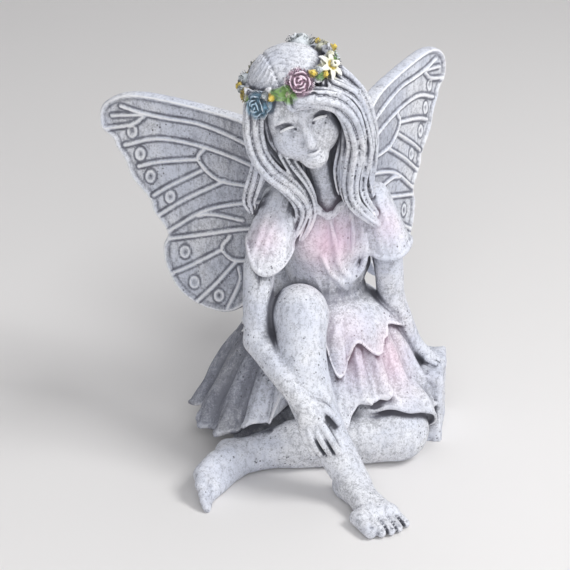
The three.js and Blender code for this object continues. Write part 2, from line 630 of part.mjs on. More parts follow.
for (const [angle, out, up, size] of blooms)
  bloom(onCrown(angle, out, up), outward(angle), rose * size, 5);
const leaves = [
  [-24, -5],
  [-14, 8],
  [-66, -58],
  [36, 45],
  [72, 84],
  [102, 112],
  [140, 132],
  [-156, -148],
  [-122, -118],
  [-94, -90],
];
for (const [from, to] of leaves) {
  const tip = plus(onCrown(to, 2.4, 0), times(crownFrame[2], -1.8));
  add(strip(onCrown(from, 1, 0), tip, crownFrame[2], 2, 0.9, 1.3, 0.5), 0.3);
}

// Samples of the field on a regular grid, block by block, using only the pieces that reach there
function joined(list, x, y, z) {
  let d = 9;
  for (const p of list) {
    const e = p.f(x, y, z);
    if (p.blend > 0) {
      const h = max(p.blend - abs(d - e), 0) / p.blend;
      d = min(d, e) - h * h * p.blend * 0.25;
    } else {
      const k = -p.blend;
      const h = max(k - abs(d + e), 0) / k;
      d = max(d, -e) + h * h * k * 0.25;
    }
  }
  return d;
}

function sample(spacing) {
  const lo = [0, 1, 2].map((i) => min(...pieces.map((p) => p.lo[i])) - 2 * spacing);
  const hi = [0, 1, 2].map((i) => max(...pieces.map((p) => p.hi[i])) + 2 * spacing);
  lo[2] = -2.5 * spacing;
  const n = [0, 1, 2].map((i) => ceil((hi[i] - lo[i]) / spacing) + 1);
  const values = new Float32Array(n[0] * n[1] * n[2]).fill(9);
  const B = 8;
  const reach = 2 * spacing;
  for (let bz = 0; bz < n[2]; bz += B)
    for (let by = 0; by < n[1]; by += B)
      for (let bx = 0; bx < n[0]; bx += B) {
        const from = [bx, by, bz].map((b, i) => lo[i] + b * spacing);
        const to = [bx, by, bz].map((b, i) => lo[i] + (b + B) * spacing);
        const near = pieces.filter((p) =>
          [0, 1, 2].every(
            (i) => p.lo[i] - abs(p.blend) - reach < to[i] && p.hi[i] + abs(p.blend) + reach > from[i],
          ),
        );
        if (!near.length) continue;
        for (let k = bz; k < min(bz + B, n[2]); k++)
          for (let j = by; j < min(by + B, n[1]); j++)
            for (let i = bx; i < min(bx + B, n[0]); i++) {
              const at = (k * n[1] + j) * n[0] + i;
              const x = lo[0] + i * spacing;
              const y = lo[1] + j * spacing;
              const z = lo[2] + k * spacing;
              const edge = i === 0 || j === 0 || k === 0;
              const far = i === n[0] - 1 || j === n[1] - 1 || k === n[2] - 1;
              values[at] = edge || far ? 9 : joined(near, x, y, z);
            }
      }
  return { n, lo, values };
}

// Zero surface by marching tetrahedra, which always closes: six tetrahedra to a cell
function surface({ n, lo, values }, spacing) {
  const [nx, ny] = n;
  const points = [];
  const faces = [];
  const made = new Map();
  const offsets = [0, 1, nx, nx + 1, nx * ny, nx * ny + 1, nx * ny + nx, nx * ny + nx + 1];
  const tetrahedra = [
    [0, 1, 3, 7],
    [0, 3, 2, 7],
    [0, 2, 6, 7],
    [0, 6, 4, 7],
    [0, 4, 5, 7],
    [0, 5, 1, 7],
  ];
  const place = (g) => {
    const i = g % nx;
    const j = floor(g / nx) % ny;
    const k = floor(g / (nx * ny));
    return [lo[0] + i * spacing, lo[1] + j * spacing, lo[2] + k * spacing];
  };
  const total = values.length;
  const crossing = (a, b) => {
    const key = a < b ? a * total + b : b * total + a;
    let id = made.get(key);
    if (id === undefined) {
      const t = clamp(values[a] / (values[a] - values[b]), 0.04, 0.96);
      id = points.length;
      points.push(lerp(place(a), place(b), t));
      made.set(key, id);
    }
    return id;
  };
  for (let k = 0; k < n[2] - 1; k++)
    for (let j = 0; j < ny - 1; j++)
      for (let i = 0; i < nx - 1; i++) {
        const base = (k * ny + j) * nx + i;
        let below = 0;
        for (const o of offsets) below += values[base + o] < 0 ? 1 : 0;
        if (below === 0 || below === 8) continue;
        for (const tet of tetrahedra) {
          const ids = tet.map((c) => base + offsets[c]);
          const inside = ids.filter((g) => values[g] < 0);
          const outside = ids.filter((g) => values[g] >= 0);
          if (!inside.length || !outside.length) continue;
          let fan;
          if (inside.length === 1) fan = outside.map((o) => crossing(inside[0], o));
          else if (inside.length === 3) fan = inside.map((s) => crossing(s, outside[0]));
          else {
            const [s, t] = inside;
            const [o, q] = outside;
            fan = [crossing(s, o), crossing(s, q), crossing(t, q), crossing(t, o)];
          }
          const out = minus(centreOf(outside.map(place)), centreOf(inside.map(place)));
          const [a, b, c] = fan.map((id) => points[id]);
          if (dot(cross(minus(b, a), minus(c, a)), out) < 0) fan.reverse();
          faces.push([fan[0], fan[1], fan[2]]);
          if (fan.length === 4) faces.push([fan[0], fan[2], fan[3]]);
        }
      }
  return { points, faces };
}
function centreOf(list) {
  return times(list.reduce(plus), 1 / list.length);
}

// The largest connected body of a mesh, renumbered
function largestBody({ points, faces }) {
  const parent = points.map((_, i) => i);
  const find = (i) => {
    while (parent[i] !== i) {
      parent[i] = parent[parent[i]];
      i = parent[i];
    }
    return i;
  };
  for (const [a, b, c] of faces) {
    parent[find(a)] = find(b);
    parent[find(b)] = find(c);
  }
  const count = new Map();
  for (const [a] of faces) count.set(find(a), (count.get(find(a)) ?? 0) + 1);
  const best = [...count].sort((p, q) => q[1] - p[1])[0][0];
  const renumber = new Map();
  const kept = faces.filter(([a]) => find(a) === best);
  const used = [];
  const id = (i) => {
    if (!renumber.has(i)) {
      renumber.set(i, used.length);
      used.push(points[i]);
    }
    return renumber.get(i);
  };
  return { points: used, faces: kept.map((face) => face.map(id)) };
}

// Edge collapse by quadric error, cheapest edge first, down to the wanted number of facets
function thinned({ points, faces }, wanted) {
  const P = points.map((p) => p.slice());
  const T = faces.map((f) => f.slice());
  const Q = P.map(() => new Float64Array(10));
  const ring = P.map(() => []);
  const version = new Int32Array(P.length);
  const gone = new Uint8Array(P.length);
  const dead = new Uint8Array(T.length);
  const plane = (t) => {
    const [a, b, c] = T[t].map((i) => P[i]);
    const n = cross(minus(b, a), minus(c, a));
    const area = size(n);
    return { n: area > 0 ? times(n, 1 / area) : [0, 0, 0], area, a };
  };
  T.forEach((face, t) => {
    const { n, area, a } = plane(t);
    const d = -dot(n, a);
    const v = [...n, d];
    let s = 0;
    for (let i = 0; i < 4; i++)
      for (let j = i; j < 4; j++) {
        for (const p of face) Q[p][s] += v[i] * v[j] * area;
        s++;
      }
    for (const p of face) ring[p].push(t);
  });
  const error = (q, p) => {
    const [x, y, z] = p;
    return (
      q[0] * x * x + 2 * q[1] * x * y + 2 * q[2] * x * z + 2 * q[3] * x +
      q[4] * y * y + 2 * q[5] * y * z + 2 * q[6] * y +
      q[7] * z * z + 2 * q[8] * z + q[9]
    );
  };
  const sum = new Float64Array(10);
  const best = (a, b) => {
    for (let i = 0; i < 10; i++) sum[i] = Q[a][i] + Q[b][i];
    const [q11, q12, q13, q14, q22, q23, q24, q33, q34] = sum;
    const c11 = q22 * q33 - q23 * q23;
    const c12 = q13 * q23 - q12 * q33;
    const c13 = q12 * q23 - q13 * q22;
    const det = q11 * c11 + q12 * c12 + q13 * c13;
    const middle = lerp(P[a], P[b], 0.5);
    let place = middle;
    if (abs(det) > 1e-7) {
      const c22 = q11 * q33 - q13 * q13;
      const c23 = q12 * q13 - q11 * q23;
      const c33 = q11 * q22 - q12 * q12;
      const solved = [
        -(c11 * q14 + c12 * q24 + c13 * q34) / det,
        -(c12 * q14 + c22 * q24 + c23 * q34) / det,
        -(c13 * q14 + c23 * q24 + c33 * q34) / det,
      ];
      const length = apart(P[a], P[b]);
      if (apart(solved, middle) < 2 * length + 0.2) place = solved;
    }
    if (place === middle) {
      for (const choice of [P[a], P[b]]) if (error(sum, choice) < error(sum, place)) place = choice;
    }
    const length = apart(P[a], P[b]);
    return { place, cost: max(error(sum, place), 0) + 1e-4 * length * length };
  };
  const heap = [];
  const swap = (i, j) => {
    const t = heap[i];
    heap[i] = heap[j];
    heap[j] = t;
  };
  const push = (entry) => {
    let i = heap.length;
    heap.push(entry);
    while (i > 0 && heap[(i - 1) >> 1].cost > heap[i].cost) {
      swap(i, (i - 1) >> 1);
      i = (i - 1) >> 1;
    }
  };
  const pop = () => {
    const top = heap[0];
    const last = heap.pop();
    if (heap.length) {
      heap[0] = last;
      let i = 0;
      for (;;) {
        let c = 2 * i + 1;
        if (c >= heap.length) break;
        if (c + 1 < heap.length && heap[c + 1].cost < heap[c].cost) c++;
        if (heap[c].cost >= heap[i].cost) break;
        swap(i, c);
        i = c;
      }
    }
    return top;
  };
  const queue = (a, b) => {
    const { place, cost } = best(a, b);
    push({ a, b, va: version[a], vb: version[b], place, cost });
  };
  const neighbours = (v) => {
    const found = new Set();
    for (const t of ring[v]) for (const p of T[t]) if (p !== v) found.add(p);
    return found;
  };
  for (const [a, b, c] of T)
    for (const [p, q] of [[a, b], [b, c], [c, a]]) if (p < q) queue(p, q);
  const turns = (v, other, place) => {
    for (const t of ring[v]) {
      if (T[t].includes(other)) continue;
      const before = plane(t).n;
      const [a, b, c] = T[t].map((i) => (i === v ? place : P[i]));
      const raw = cross(minus(b, a), minus(c, a));
      const area = size(raw);
      const longest = max(apart(a, b), apart(b, c), apart(c, a));
      if (area < 0.03 * longest * longest) return true;
      if (dot(before, raw) < 0.25 * area) return true;
    }
    return false;
  };
  const seen = new Int32Array(P.length);
  let mark = 0;
  let left = T.length;
  while (left > wanted && heap.length) {
    const { a, b, va, vb, place } = pop();
    if (gone[a] || gone[b] || version[a] !== va || version[b] !== vb) continue;
    mark++;
    for (const t of ring[a]) for (const p of T[t]) seen[p] = mark;
    let shared = 0;
    for (const t of ring[b])
      for (const p of T[t])
        if (p !== a && p !== b && seen[p] === mark) {
          shared++;
          seen[p] = 0;
        }
    if (shared !== 2) continue;
    if (turns(a, b, place) || turns(b, a, place)) continue;
    const kept = [];
    for (const t of ring[a]) {
      if (T[t].includes(b)) {
        dead[t] = 1;
        left--;
        for (const p of T[t]) if (p !== a && p !== b) ring[p] = ring[p].filter((s) => s !== t);
      } else kept.push(t);
    }
    for (const t of ring[b]) {
      if (dead[t]) continue;
      T[t] = T[t].map((p) => (p === b ? a : p));
      kept.push(t);
    }
    ring[a] = kept;
    ring[b] = [];
    gone[b] = 1;
    P[a] = place;
    for (let i = 0; i < 10; i++) Q[a][i] += Q[b][i];
    version[a]++;
    for (const p of neighbours(a)) {
      if (p < a) queue(p, a);
      else queue(a, p);
    }
  }
  const alive = T.filter((_, t) => !dead[t]);
  const number = new Map();
  const used = [];
  const id = (i) => {
    if (!number.has(i)) {
      number.set(i, used.length);
      used.push(P[i]);
    }
    return number.get(i);
  };
  return { faces: alive.map((f) => f.map(id)), points: used };
}

// A closed mesh as a solid, and a solid back as a mesh
const wasm = await Module();
wasm.setup();
function solidFrom({ points, faces }) {
  return new wasm.Manifold(
    new wasm.Mesh({
      numProp: 3,
      vertProperties: new Float32Array(points.flat()),
      triVerts: new Uint32Array(faces.flat()),
    }),
  );
}
function boxSolid(size, centre) {
  const geometry = new THREE.BoxGeometry(...size).translate(...centre);
  const position = geometry.attributes.position;
  const corners = new Map();
  const points = [];
  const ids = [];
  for (let i = 0; i < position.count; i++) {
    const p = [position.getX(i), position.getY(i), position.getZ(i)];
    const key = p.join();
    if (!corners.has(key)) {
      corners.set(key, points.length);
      points.push(p);
    }
    ids.push(corners.get(key));
  }
  const faces = [];
  for (let i = 0; i < geometry.index.count; i += 3)
    faces.push([0, 1, 2].map((k) => ids[geometry.index.getX(i + k)]));
  return solidFrom({ points, faces });
}
function geometryFrom(solid) {
  const mesh = solid.getMesh();
  const position = new Float32Array(mesh.numVert * 3);
  for (let i = 0; i < mesh.numVert; i++)
    for (let k = 0; k < 3; k++) position[i * 3 + k] = mesh.vertProperties[i * mesh.numProp + k];
  const geometry = new THREE.BufferGeometry();
  geometry.setAttribute('position', new THREE.BufferAttribute(position, 3));
  geometry.setIndex(Array.from(mesh.triVerts));
  return geometry;
}

const spacing = FIELD_STEP / U;
const sculpt = thinned(largestBody(surface(sample(spacing), spacing)), FACETS);
const whole = solidFrom({ points: sculpt.points.map((p) => times(p, U)), faces: sculpt.faces });
const room = 4 * FIGURE_HEIGHT;
const above = boxSolid([room, room, room], [0, 0, room / 2]);
const figureGeometry = geometryFrom(whole.intersect(above));
figureGeometry.computeBoundingBox();
const bounds = figureGeometry.boundingBox;
const middle = bounds.getCenter(new THREE.Vector3());
figureGeometry.translate(-middle.x, -middle.y, -bounds.min.z);
figureGeometry.computeVertexNormals();

const weatheredResin = new THREE.MeshStandardMaterial({
  color: new THREE.Color(0.76, 0.77, 0.8),
  roughness: 0.78,
  metalness: 0,
});
const figurine = new THREE.Mesh(figureGeometry, weatheredResin);
figurine.name = 'fairy_figurine';
const fairy = new THREE.Group();
fairy.name = 'fairy';
fairy.add(figurine);

export default fairy;
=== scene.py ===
import math

import bpy
import numpy as np
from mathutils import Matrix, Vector


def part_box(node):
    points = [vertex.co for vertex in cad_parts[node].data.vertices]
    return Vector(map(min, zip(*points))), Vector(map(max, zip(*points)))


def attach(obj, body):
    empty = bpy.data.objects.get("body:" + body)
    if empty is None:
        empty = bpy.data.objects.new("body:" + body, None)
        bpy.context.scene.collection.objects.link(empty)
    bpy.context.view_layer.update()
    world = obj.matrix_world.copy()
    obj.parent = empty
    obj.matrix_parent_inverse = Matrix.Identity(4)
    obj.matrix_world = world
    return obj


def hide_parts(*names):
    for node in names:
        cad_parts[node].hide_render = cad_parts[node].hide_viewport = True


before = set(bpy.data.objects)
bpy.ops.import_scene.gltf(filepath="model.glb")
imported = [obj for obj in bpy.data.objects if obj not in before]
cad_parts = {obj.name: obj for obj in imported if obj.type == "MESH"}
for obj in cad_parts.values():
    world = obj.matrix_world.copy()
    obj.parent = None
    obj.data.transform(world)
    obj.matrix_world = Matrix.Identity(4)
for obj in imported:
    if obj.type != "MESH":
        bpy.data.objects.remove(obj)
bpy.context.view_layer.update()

# Seated fairy, one resin casting. The pose is drawn in units of U millimetres, with x to the
# figure's left, y to its back and z up, round MIDDLE. The sizes below are millimetres over U.
FIGURE_HEIGHT = 150.0
U = FIGURE_HEIGHT / 145.65
MIDDLE = (-2.4840, 31.1598)
WALL = 3.6 / U
HEAD_SIZE = 38.4 / U / 35
SHOULDERS = 39 / U
ARM = 10.6 / U / 2
LEG = 16.4 / U / 2
FINGER = 2.7 / U / 2
TOE = 4.2 / U / 2
FOOT = 29 / U / 28
SKIRT = 43.5 / U
WING = 82.5 / U / 79.8
LOCK = 5.2 / U / 2
ROSE = 9.4 / U / 2
CROWN = 14.2 / U
PETAL = 1.8 / U
BLOCK = 25.4 / U


def to_world(p):
    return ((p[0] - MIDDLE[0]) * U / 1000, (p[1] - MIDDLE[1]) * U / 1000, p[2] * U / 1000)


# Camera: 24 degrees above the horizon, on the photograph's side
SENSOR = 36
FRAME_PIXELS = 570
DISTANCE = 650
PIXELS_A_UNIT = 3.09
VIEW_DROP = math.radians(24)
TARGET = (0.0, 15.0, 62.4)
EYE = (0.0, TARGET[1] - DISTANCE * math.cos(VIEW_DROP), TARGET[2] + DISTANCE * math.sin(VIEW_DROP))
scene = bpy.context.scene
camera_data = bpy.data.cameras.new("camera")
camera_data.sensor_width = SENSOR
camera_data.lens = SENSOR * PIXELS_A_UNIT * DISTANCE / FRAME_PIXELS
camera = bpy.data.objects.new("camera", camera_data)
scene.collection.objects.link(camera)
camera.location = to_world(EYE)
look = Vector(to_world(TARGET)) - Vector(to_world(EYE))
camera.rotation_euler = look.to_track_quat("-Z", "Y").to_euler()
scene.camera = camera

# A piece is a distance function and the box that holds it. Each joins the ones before it, or is
# carved from them, with a soft edge of the given width.
pieces = []


def add(piece, blend=1.5):
    pieces.append((piece[0], piece[1], piece[2], blend))


def carve(piece, blend=1.0):
    pieces.append((piece[0], piece[1], piece[2], -blend))


def arr(p):
    return np.array(p, dtype=np.float64)


def unit(a):
    a = arr(a)
    return a / np.linalg.norm(a)


def around(points, reach, f):
    """The piece f, in the box that reaches past the points."""
    q = arr(points)
    return q.min(0) - reach, q.max(0) + reach, f


def clamp(a):
    return np.clip(a, 0, 1)


def bell(value, middle, width, power=2):
    return np.exp(-((value - middle) / width) ** power)


def heading(angle):
    turn = math.radians(angle)
    return math.cos(turn), math.sin(turn)


def smin(a, b, k):
    h = np.maximum(k - np.abs(a - b), 0) / k
    return np.minimum(a, b) - h * h * k * 0.25


def smax(a, b, k):
    return -smin(-a, -b, k)


def length(*parts):
    total = 0
    for p in parts:
        total = total + p * p
    return np.sqrt(total)


def egg(c, r, axes=np.eye(3)):
    c = arr(c)
    r = arr(r)

    def f(p):
        q = ((p - c) @ axes.T) / r
        k0 = np.sqrt((q * q).sum(1))
        k1 = np.sqrt(((q / r) ** 2).sum(1)) + 1e-9
        return k0 * (k0 - 1) / k1
    return around([c], r.max(), f)


def run_through(points, count):
    """Catmull-Rom run through the points, in count steps."""
    q = arr(points)
    if len(q) == 2:
        t = np.linspace(0, 1, count + 1)[:, None]
        return q[0] + (q[1] - q[0]) * t
    ext = np.vstack([2 * q[0] - q[1], q, 2 * q[-1] - q[-2]])
    out = []
    for s in np.linspace(0, len(q) - 1, count + 1):
        i = min(int(s), len(q) - 2)
        t = s - i
        a, b, c, d = ext[i], ext[i + 1], ext[i + 2], ext[i + 3]
        out.append(0.5 * (2 * b + (c - a) * t + (2 * a - 5 * b + 4 * c - d) * t * t
                          + (3 * b - a - 3 * c + d) * t ** 3))
    return arr(out)


def tube(points, radius, count=None, grooves=0, depth=0.0, twist=0.0):
    """Rounded tube; grooves run along it, turned by twist over its length."""
    count = count or 2 * len(points)
    run = run_through(points, count)
    radii = arr([radius(i / count) for i in range(count + 1)])
    a = run[:-1]
    ab = run[1:] - a
    sq = (ab * ab).sum(1) + 1e-9
    ra = radii[:-1]
    dr = radii[1:] - ra
    along = unit(run[-1] - run[0])
    ref = unit(np.cross(along, [0.3, 0.9, 0.2]))
    bi = np.cross(along, ref)

    def f(p):
        best = np.full(len(p), 1e9)
        at = np.zeros(len(p))
        off = np.zeros((len(p), 3))
        for i in range(count):
            q = p - a[i]
            t = clamp((q @ ab[i]) / sq[i])
            q = q - t[:, None] * ab[i]
            d = np.sqrt((q * q).sum(1)) - ra[i] - dr[i] * t
            m = d < best
            best = np.where(m, d, best)
            if grooves:
                at = np.where(m, (i + t) / count, at)
                off = np.where(m[:, None], q, off)
        if grooves:
            angle = np.arctan2(off @ bi, off @ ref)
            wave = 2 * np.abs(np.cos(0.5 * grooves * angle + twist * at * 3.14)) - 1
            best = best - depth * (wave - 0.4) * clamp(8 * (1.06 - at))
        return best
    return around(run, radii.max() + 0.3, f)


def cone(a, b, ra, rb):
    return tube([a, b], lambda t: ra + (rb - ra) * t, 1)


def turned(roll, yaw, pitch):
    (ca, sa), (cb, sb), (cc, sc) = heading(roll), heading(yaw), heading(pitch)
    ry = arr([[ca, 0, sa], [0, 1, 0], [-sa, 0, ca]])
    rz = arr([[cb, -sb, 0], [sb, cb, 0], [0, 0, 1]])
    rx = arr([[1, 0, 0], [0, cc, -sc], [0, sc, cc]])
    return (ry @ rz @ rx).T


# Low rock under the skirt, and the squared block at the left hand
def rock(c, half, turn, rounding):
    c = arr(c)
    ca, sa = heading(turn)

    def f(p):
        x, y, z = p.T
        px = (x - c[0]) * ca + (y - c[1]) * sa
        py = (y - c[1]) * ca - (x - c[0]) * sa
        qx, qy, qz = (np.abs(v) - h + rounding for v, h in zip((px, py, z - c[2]), half))
        outside = length(np.maximum(qx, 0), np.maximum(qy, 0), np.maximum(qz, 0))
        rough = np.sin(x * 0.9 + z * 0.5) * np.sin(y * 0.8 - z * 0.7) + np.sin(x * 0.37 + y * 0.41)
        chips = np.sin(x * 2.1 + 1.3 * y) * np.sin(y * 1.9 - 1.1 * z) * np.sin(z * 2.3 + x)
        inside = np.minimum(np.maximum(np.maximum(qx, qy), qz), 0)
        return outside + inside - rounding + 0.34 * rough + 0.22 * chips
    return around([c], math.hypot(*half), f)


add(rock([41.5, 38, BLOCK / 2 - 2], [13, 12.5, BLOCK / 2 + 2], -8, 1.2), 0.1)
add(rock([14, 41, 3], [31, 22, 11], 0, 9), 3)

# Skirt: a folded bell round the hips with a wavy hem
HIP = (12.0, 38.0)
WAIST_Z = 54.0
CLOTH_SLOPE = 0.72  # keeps the field of the sloping cloth near a true distance
HEM_SLOPE = 0.8
HEM = arr([
    (-180, 9), (-165, 11.4), (-158, 7.6), (-148, 8.8), (-136, 11), (-130, 15), (-125, 17.4),
    (-118, 17.4), (-112, 27), (-103, 33), (-95, 33), (-86, 26), (-79, 18.6), (-67, 25),
    (-60, 23.5), (-54, 24.3), (-45, 26.6), (-34, 22), (-24, 15), (-8, 13), (8, 17), (22, 12),
    (38, 6), (52, 8.5), (68, 5), (84, 8), (100, 4.6), (116, 8), (132, 4.6), (148, 8.4),
    (164, 6), (180, 9)])
FOLDS = arr([-176, -160, -143, -127, -112, -80, -66, -51, -36, -20, 6, 34, 58, 82, 106, 132, 156])


def hem_at(angle, table=HEM):
    i = np.clip(np.searchsorted(table[:, 0], angle), 1, len(table) - 1)
    t0, v0 = table[i - 1].T
    t1, v1 = table[i].T
    s = clamp((angle - t0) / (t1 - t0))
    return v0 + (v1 - v0) * s * s * (3 - 2 * s)


def fold_at(angle):
    ring = np.concatenate([[FOLDS[-1] - 360], FOLDS, [FOLDS[0] + 360]])
    i = np.clip(np.searchsorted(ring, angle), 1, len(ring) - 1)
    s = (angle - ring[i - 1]) / (ring[i] - ring[i - 1])
    wave = np.cos(2 * np.pi * s)
    return wave + 0.18 * np.cos(6 * np.pi * s + 1.1 * i)


def hip_at(z):
    lean = clamp((z - 30) / 25)
    return 12 + 2 * lean, 38 - 6.5 * lean * lean * (3 - 2 * lean)


def skirt_radius(angle, z):
    t = np.clip((WAIST_Z - z) / 44, 0, 1.15)
    back = clamp(np.sin(np.radians(angle)))
    spread = 12 + (SKIRT - 12) * t ** 0.66 * (1 - 0.26 * back)
    turn = np.radians(angle)
    crease = 0.5 * np.sin(turn * 31 + 2.5 * np.sin(z * 0.17)) - 0.35 * np.abs(np.sin(turn * 23 + z * 0.05))
    return spread + (2.1 / U * fold_at(angle) + crease) * t


COVER = cone([20, 34, 23], [38.2, 16.6, 12.6], 15, 12.6)[2]  # cloth over the folded leg


def skirt_f(p):
    x, y, z = p.T
    hip_x, hip_y = hip_at(z)
    dx, dy = x - hip_x, y - hip_y
    r = np.hypot(dx, dy)
    angle = np.degrees(np.arctan2(dy, dx))
    hem = hem_at(angle)
    wall = (r - skirt_radius(angle, z)) * CLOTH_SLOPE
    under = (hem - z) * HEM_SLOPE
    bead = np.hypot(r - skirt_radius(angle, hem) + 0.4, (z - hem) * 0.9) - 0.85
    front = (29.2 - y - z + 0.9 * np.sin(0.42 * x) + 0.35 * np.maximum(30 - x, 0)) * 0.7
    over = COVER(p) - 0.35 * np.sin(0.8 * x + 0.5 * y)
    end = np.maximum(7 - z, 24 - x)
    knee = smax(smax(over, front, 0.3), end, 0.3)
    knee = np.minimum(knee, np.maximum(np.hypot(over + 0.3, front - 0.2) - 0.8, end))
    cloth = np.minimum(smax(smax(wall, under, 0.3), z - WAIST_Z, 0.3), bead)
    return smin(cloth, knee, 1.2)


add((arr([HIP[0] - SKIRT - 4, HIP[1] - SKIRT - 4, -4]), arr([HIP[0] + SKIRT + 4, HIP[1] + SKIRT + 2, 58]),
     skirt_f), 0.6)

# Overskirt cut into pointed petals
PETAL_HEM = arr([
    (-180, 42), (-165, 40), (-140, 45), (-112, 46), (-93, 45), (-80, 33.5), (-66, 43.5), (-52, 38),
    (-30, 45), (-5, 40), (20, 45), (45, 39), (70, 45), (95, 39), (120, 45), (145, 40), (165, 44),
    (180, 42)])


def overskirt(p):
    x, y, z = p.T
    hip_x, hip_y = hip_at(z)
    angle = np.degrees(np.arctan2(y - hip_y, x - hip_x))
    lift = PETAL * np.clip((WAIST_Z - z) / 6, -0.6, 1)
    wall = (np.hypot(x - hip_x, y - hip_y) - skirt_radius(angle, z) - lift) * CLOTH_SLOPE
    under = (hem_at(angle, PETAL_HEM) - z) * HEM_SLOPE
    rim = np.hypot(wall + 0.1, under + 0.4) - 0.5
    return np.minimum(smax(smax(wall, under, 0.2), z - WAIST_Z - 1, 0.3), rim)


add((arr([HIP[0] - 30, HIP[1] - 36, 30]), arr([HIP[0] + 34, HIP[1] + 30, WAIST_Z + 5]), overskirt), 0.15)

# Folded leg on the ground
add(cone([20, 34, 18], [38, 15, 10.4], 12.6, 9.6), 1.5)
add(egg([38.4, 13.6, 10.2], [9.4, 10.2, 9.8]), 1.5)
add(tube([[36, 12, 9.5], [20, 12.5, 7.8], [3, 8.5, 7.6], [-8, 5, 6.8], [-17, 0.5, 5.6]],
         lambda t: LEG * (1.12 - 0.46 * t) + 1.4 * math.sin(math.pi * min(t * 1.5, 1)), 8), 2)
add(tube([[-13, 4, 7], [-18.5, 3.5, 7.2]], lambda t: 4.6, 1), 2.5)
add(tube([[-17, 0.5, 6.5], [-22, -5, 7.4], [-26, -11.5, 7.2]], lambda t: 5.4 - 1.7 * t, 2), 2)
add(tube([[-18, -1, 4], [-22, -10, 3.4], [-24.8, -16.5, 3]], lambda t: 4.6 - 1.6 * t, 2), 2)
for start, end, share in (
        ([-26.3, -12, 8], [-26.8, -17.2, 6.6], 1.15), ([-25.4, -14, 5], [-26.4, -19.6, 4.6], 0.78),
        ([-25, -15.5, 3.8], [-26, -21.2, 3.2], 0.72), ([-24.6, -16.5, 2.6], [-25.4, -22.4, 2], 0.68),
        ([-24.2, -17, 1.6], [-24.8, -23, 1], 0.62)):
    add(cone(start, end, TOE * share, TOE * share * 0.92), 0.4)

# Raised leg with the bare knee, shin and the foot flat on the ground
add(cone([2, 33, 33], [4.5, 6, 56.5], LEG * 1.62, LEG * 1.14), 2.5)
add(egg([4.9, 3.4, 57.6], [LEG * 1.06, LEG * 1.12, LEG * 1.14]), 2.5)
add(tube([[5.4, 1.6, 56], [5.4, -3.4, 43], [10.4, -9.4, 28], [18, -14.4, 14], [22.4, -15.2, 6.4]],
         lambda t: LEG * (1 - 0.34 * t + 0.1 * math.sin(math.pi * min(t * 1.6, 1))), 10), 2)
HEEL = arr([21, -13.4, 0])


def step(p):
    return HEEL + arr([p[0] * FOOT, p[1] * FOOT, p[2]])


add(cone(step((-0.6, 0.4, 4.4)), step((1.6, -4, 5.6)), 5.2, 4.9), 1.5)
add(cone(step((1.6, -4, 6)), step((5.6, -16.5, 3)), 4.8, 3.4), 1.5)
add(cone(step((2.4, -4, 4)), step((11.6, -14.4, 2.6)), 4.4, 2.8), 2)
add(cone(step((3.2, -18.4, 3)), step((12.4, -13.6, 2.4)), 3.3, 2.6), 1.5)
for start, end, share in (
        ((1.6, -18.4, 3.2), (5.6, -25.4, 2.4), 1.2), ((6.0, -18.6, 3), (9.0, -25.2, 1.9), 0.84),
        ((9.0, -17.6, 2.8), (12, -23.9, 1.8), 0.8), ((11.7, -16.2, 2.6), (14.5, -22, 1.7), 0.76),
        ((14.0, -14.4, 2.4), (16.9, -19, 1.5), 0.72)):
    add(cone(step(start), step(end), TOE * share, TOE * share * 0.9), 0.35)
    tip = step(end)
    way = unit(tip - step(start))
    nail = tip + way * TOE * share * 0.35 + arr([0, 0, TOE * share * 0.78])
    across = np.cross(way, [0, 0, 1])
    nail_axes = np.stack([unit(across), way, unit(np.cross(across, way))])
    carve(egg(nail, [TOE * share * 0.55, TOE * share * 0.7, 0.35], nail_axes), 0.2)

# Torso
torso = turned(4, 17, 8)
add(egg([12, 38, 26], [19, 16, 16]), 3)
add(egg([13, 33.5, 44], [12.4, 10.6, 14], torso), 4)
add(egg([14.2, 31, 57], [12, 9.4, 12], torso), 4)
add(egg([13.8, 26, 75], [SHOULDERS * 0.36, 10.2, 15], torso), 3)
BLOUSE = egg([14, 29.4, 65.5], [14.4, 10.8, 12.6], torso)


def blouse(p):
    x, y, z = p.T
    swoop = 0.85 * (x - 14) + 0.012 * (z - 74) ** 2 * np.tanh((x - 14) / 2)
    fold = 0.42 * np.sin(swoop) + 0.22 * np.sin(2.3 * swoop + 0.3 * z) * np.clip((66 - z) / 8, 0.2, 1)
    return BLOUSE[2](p) - fold * clamp((34 - y) / 4) * clamp((84 - z) * 0.1)


add((BLOUSE[0], BLOUSE[1], blouse), 2)
add(cone([10, 34, 57], [1, 32, 56.6], 9, 6.4), 2.5)
add(egg([8.8, 20.8, 78], [6.2, 4.6, 7.4], torso), 5)
add(egg([19.2, 23.8, 76.6], [6.2, 4.6, 7.6], torso), 5)
CHEST = arr([13.6, 22.5, 88.4])
ACROSS = unit([36.9, 12, -4.4])
R_SHOULDER = CHEST - ACROSS * SHOULDERS * 0.42
L_SHOULDER = CHEST + ACROSS * SHOULDERS * 0.42
add(cone(R_SHOULDER, CHEST, ARM * 1.05, ARM * 1.3), 3)
add(cone(L_SHOULDER, CHEST, ARM * 1.05, ARM * 1.3), 3)
add(cone([13.4, 21, 91], [8.6, 12, 112], 5.1, 4.9), 2.5)

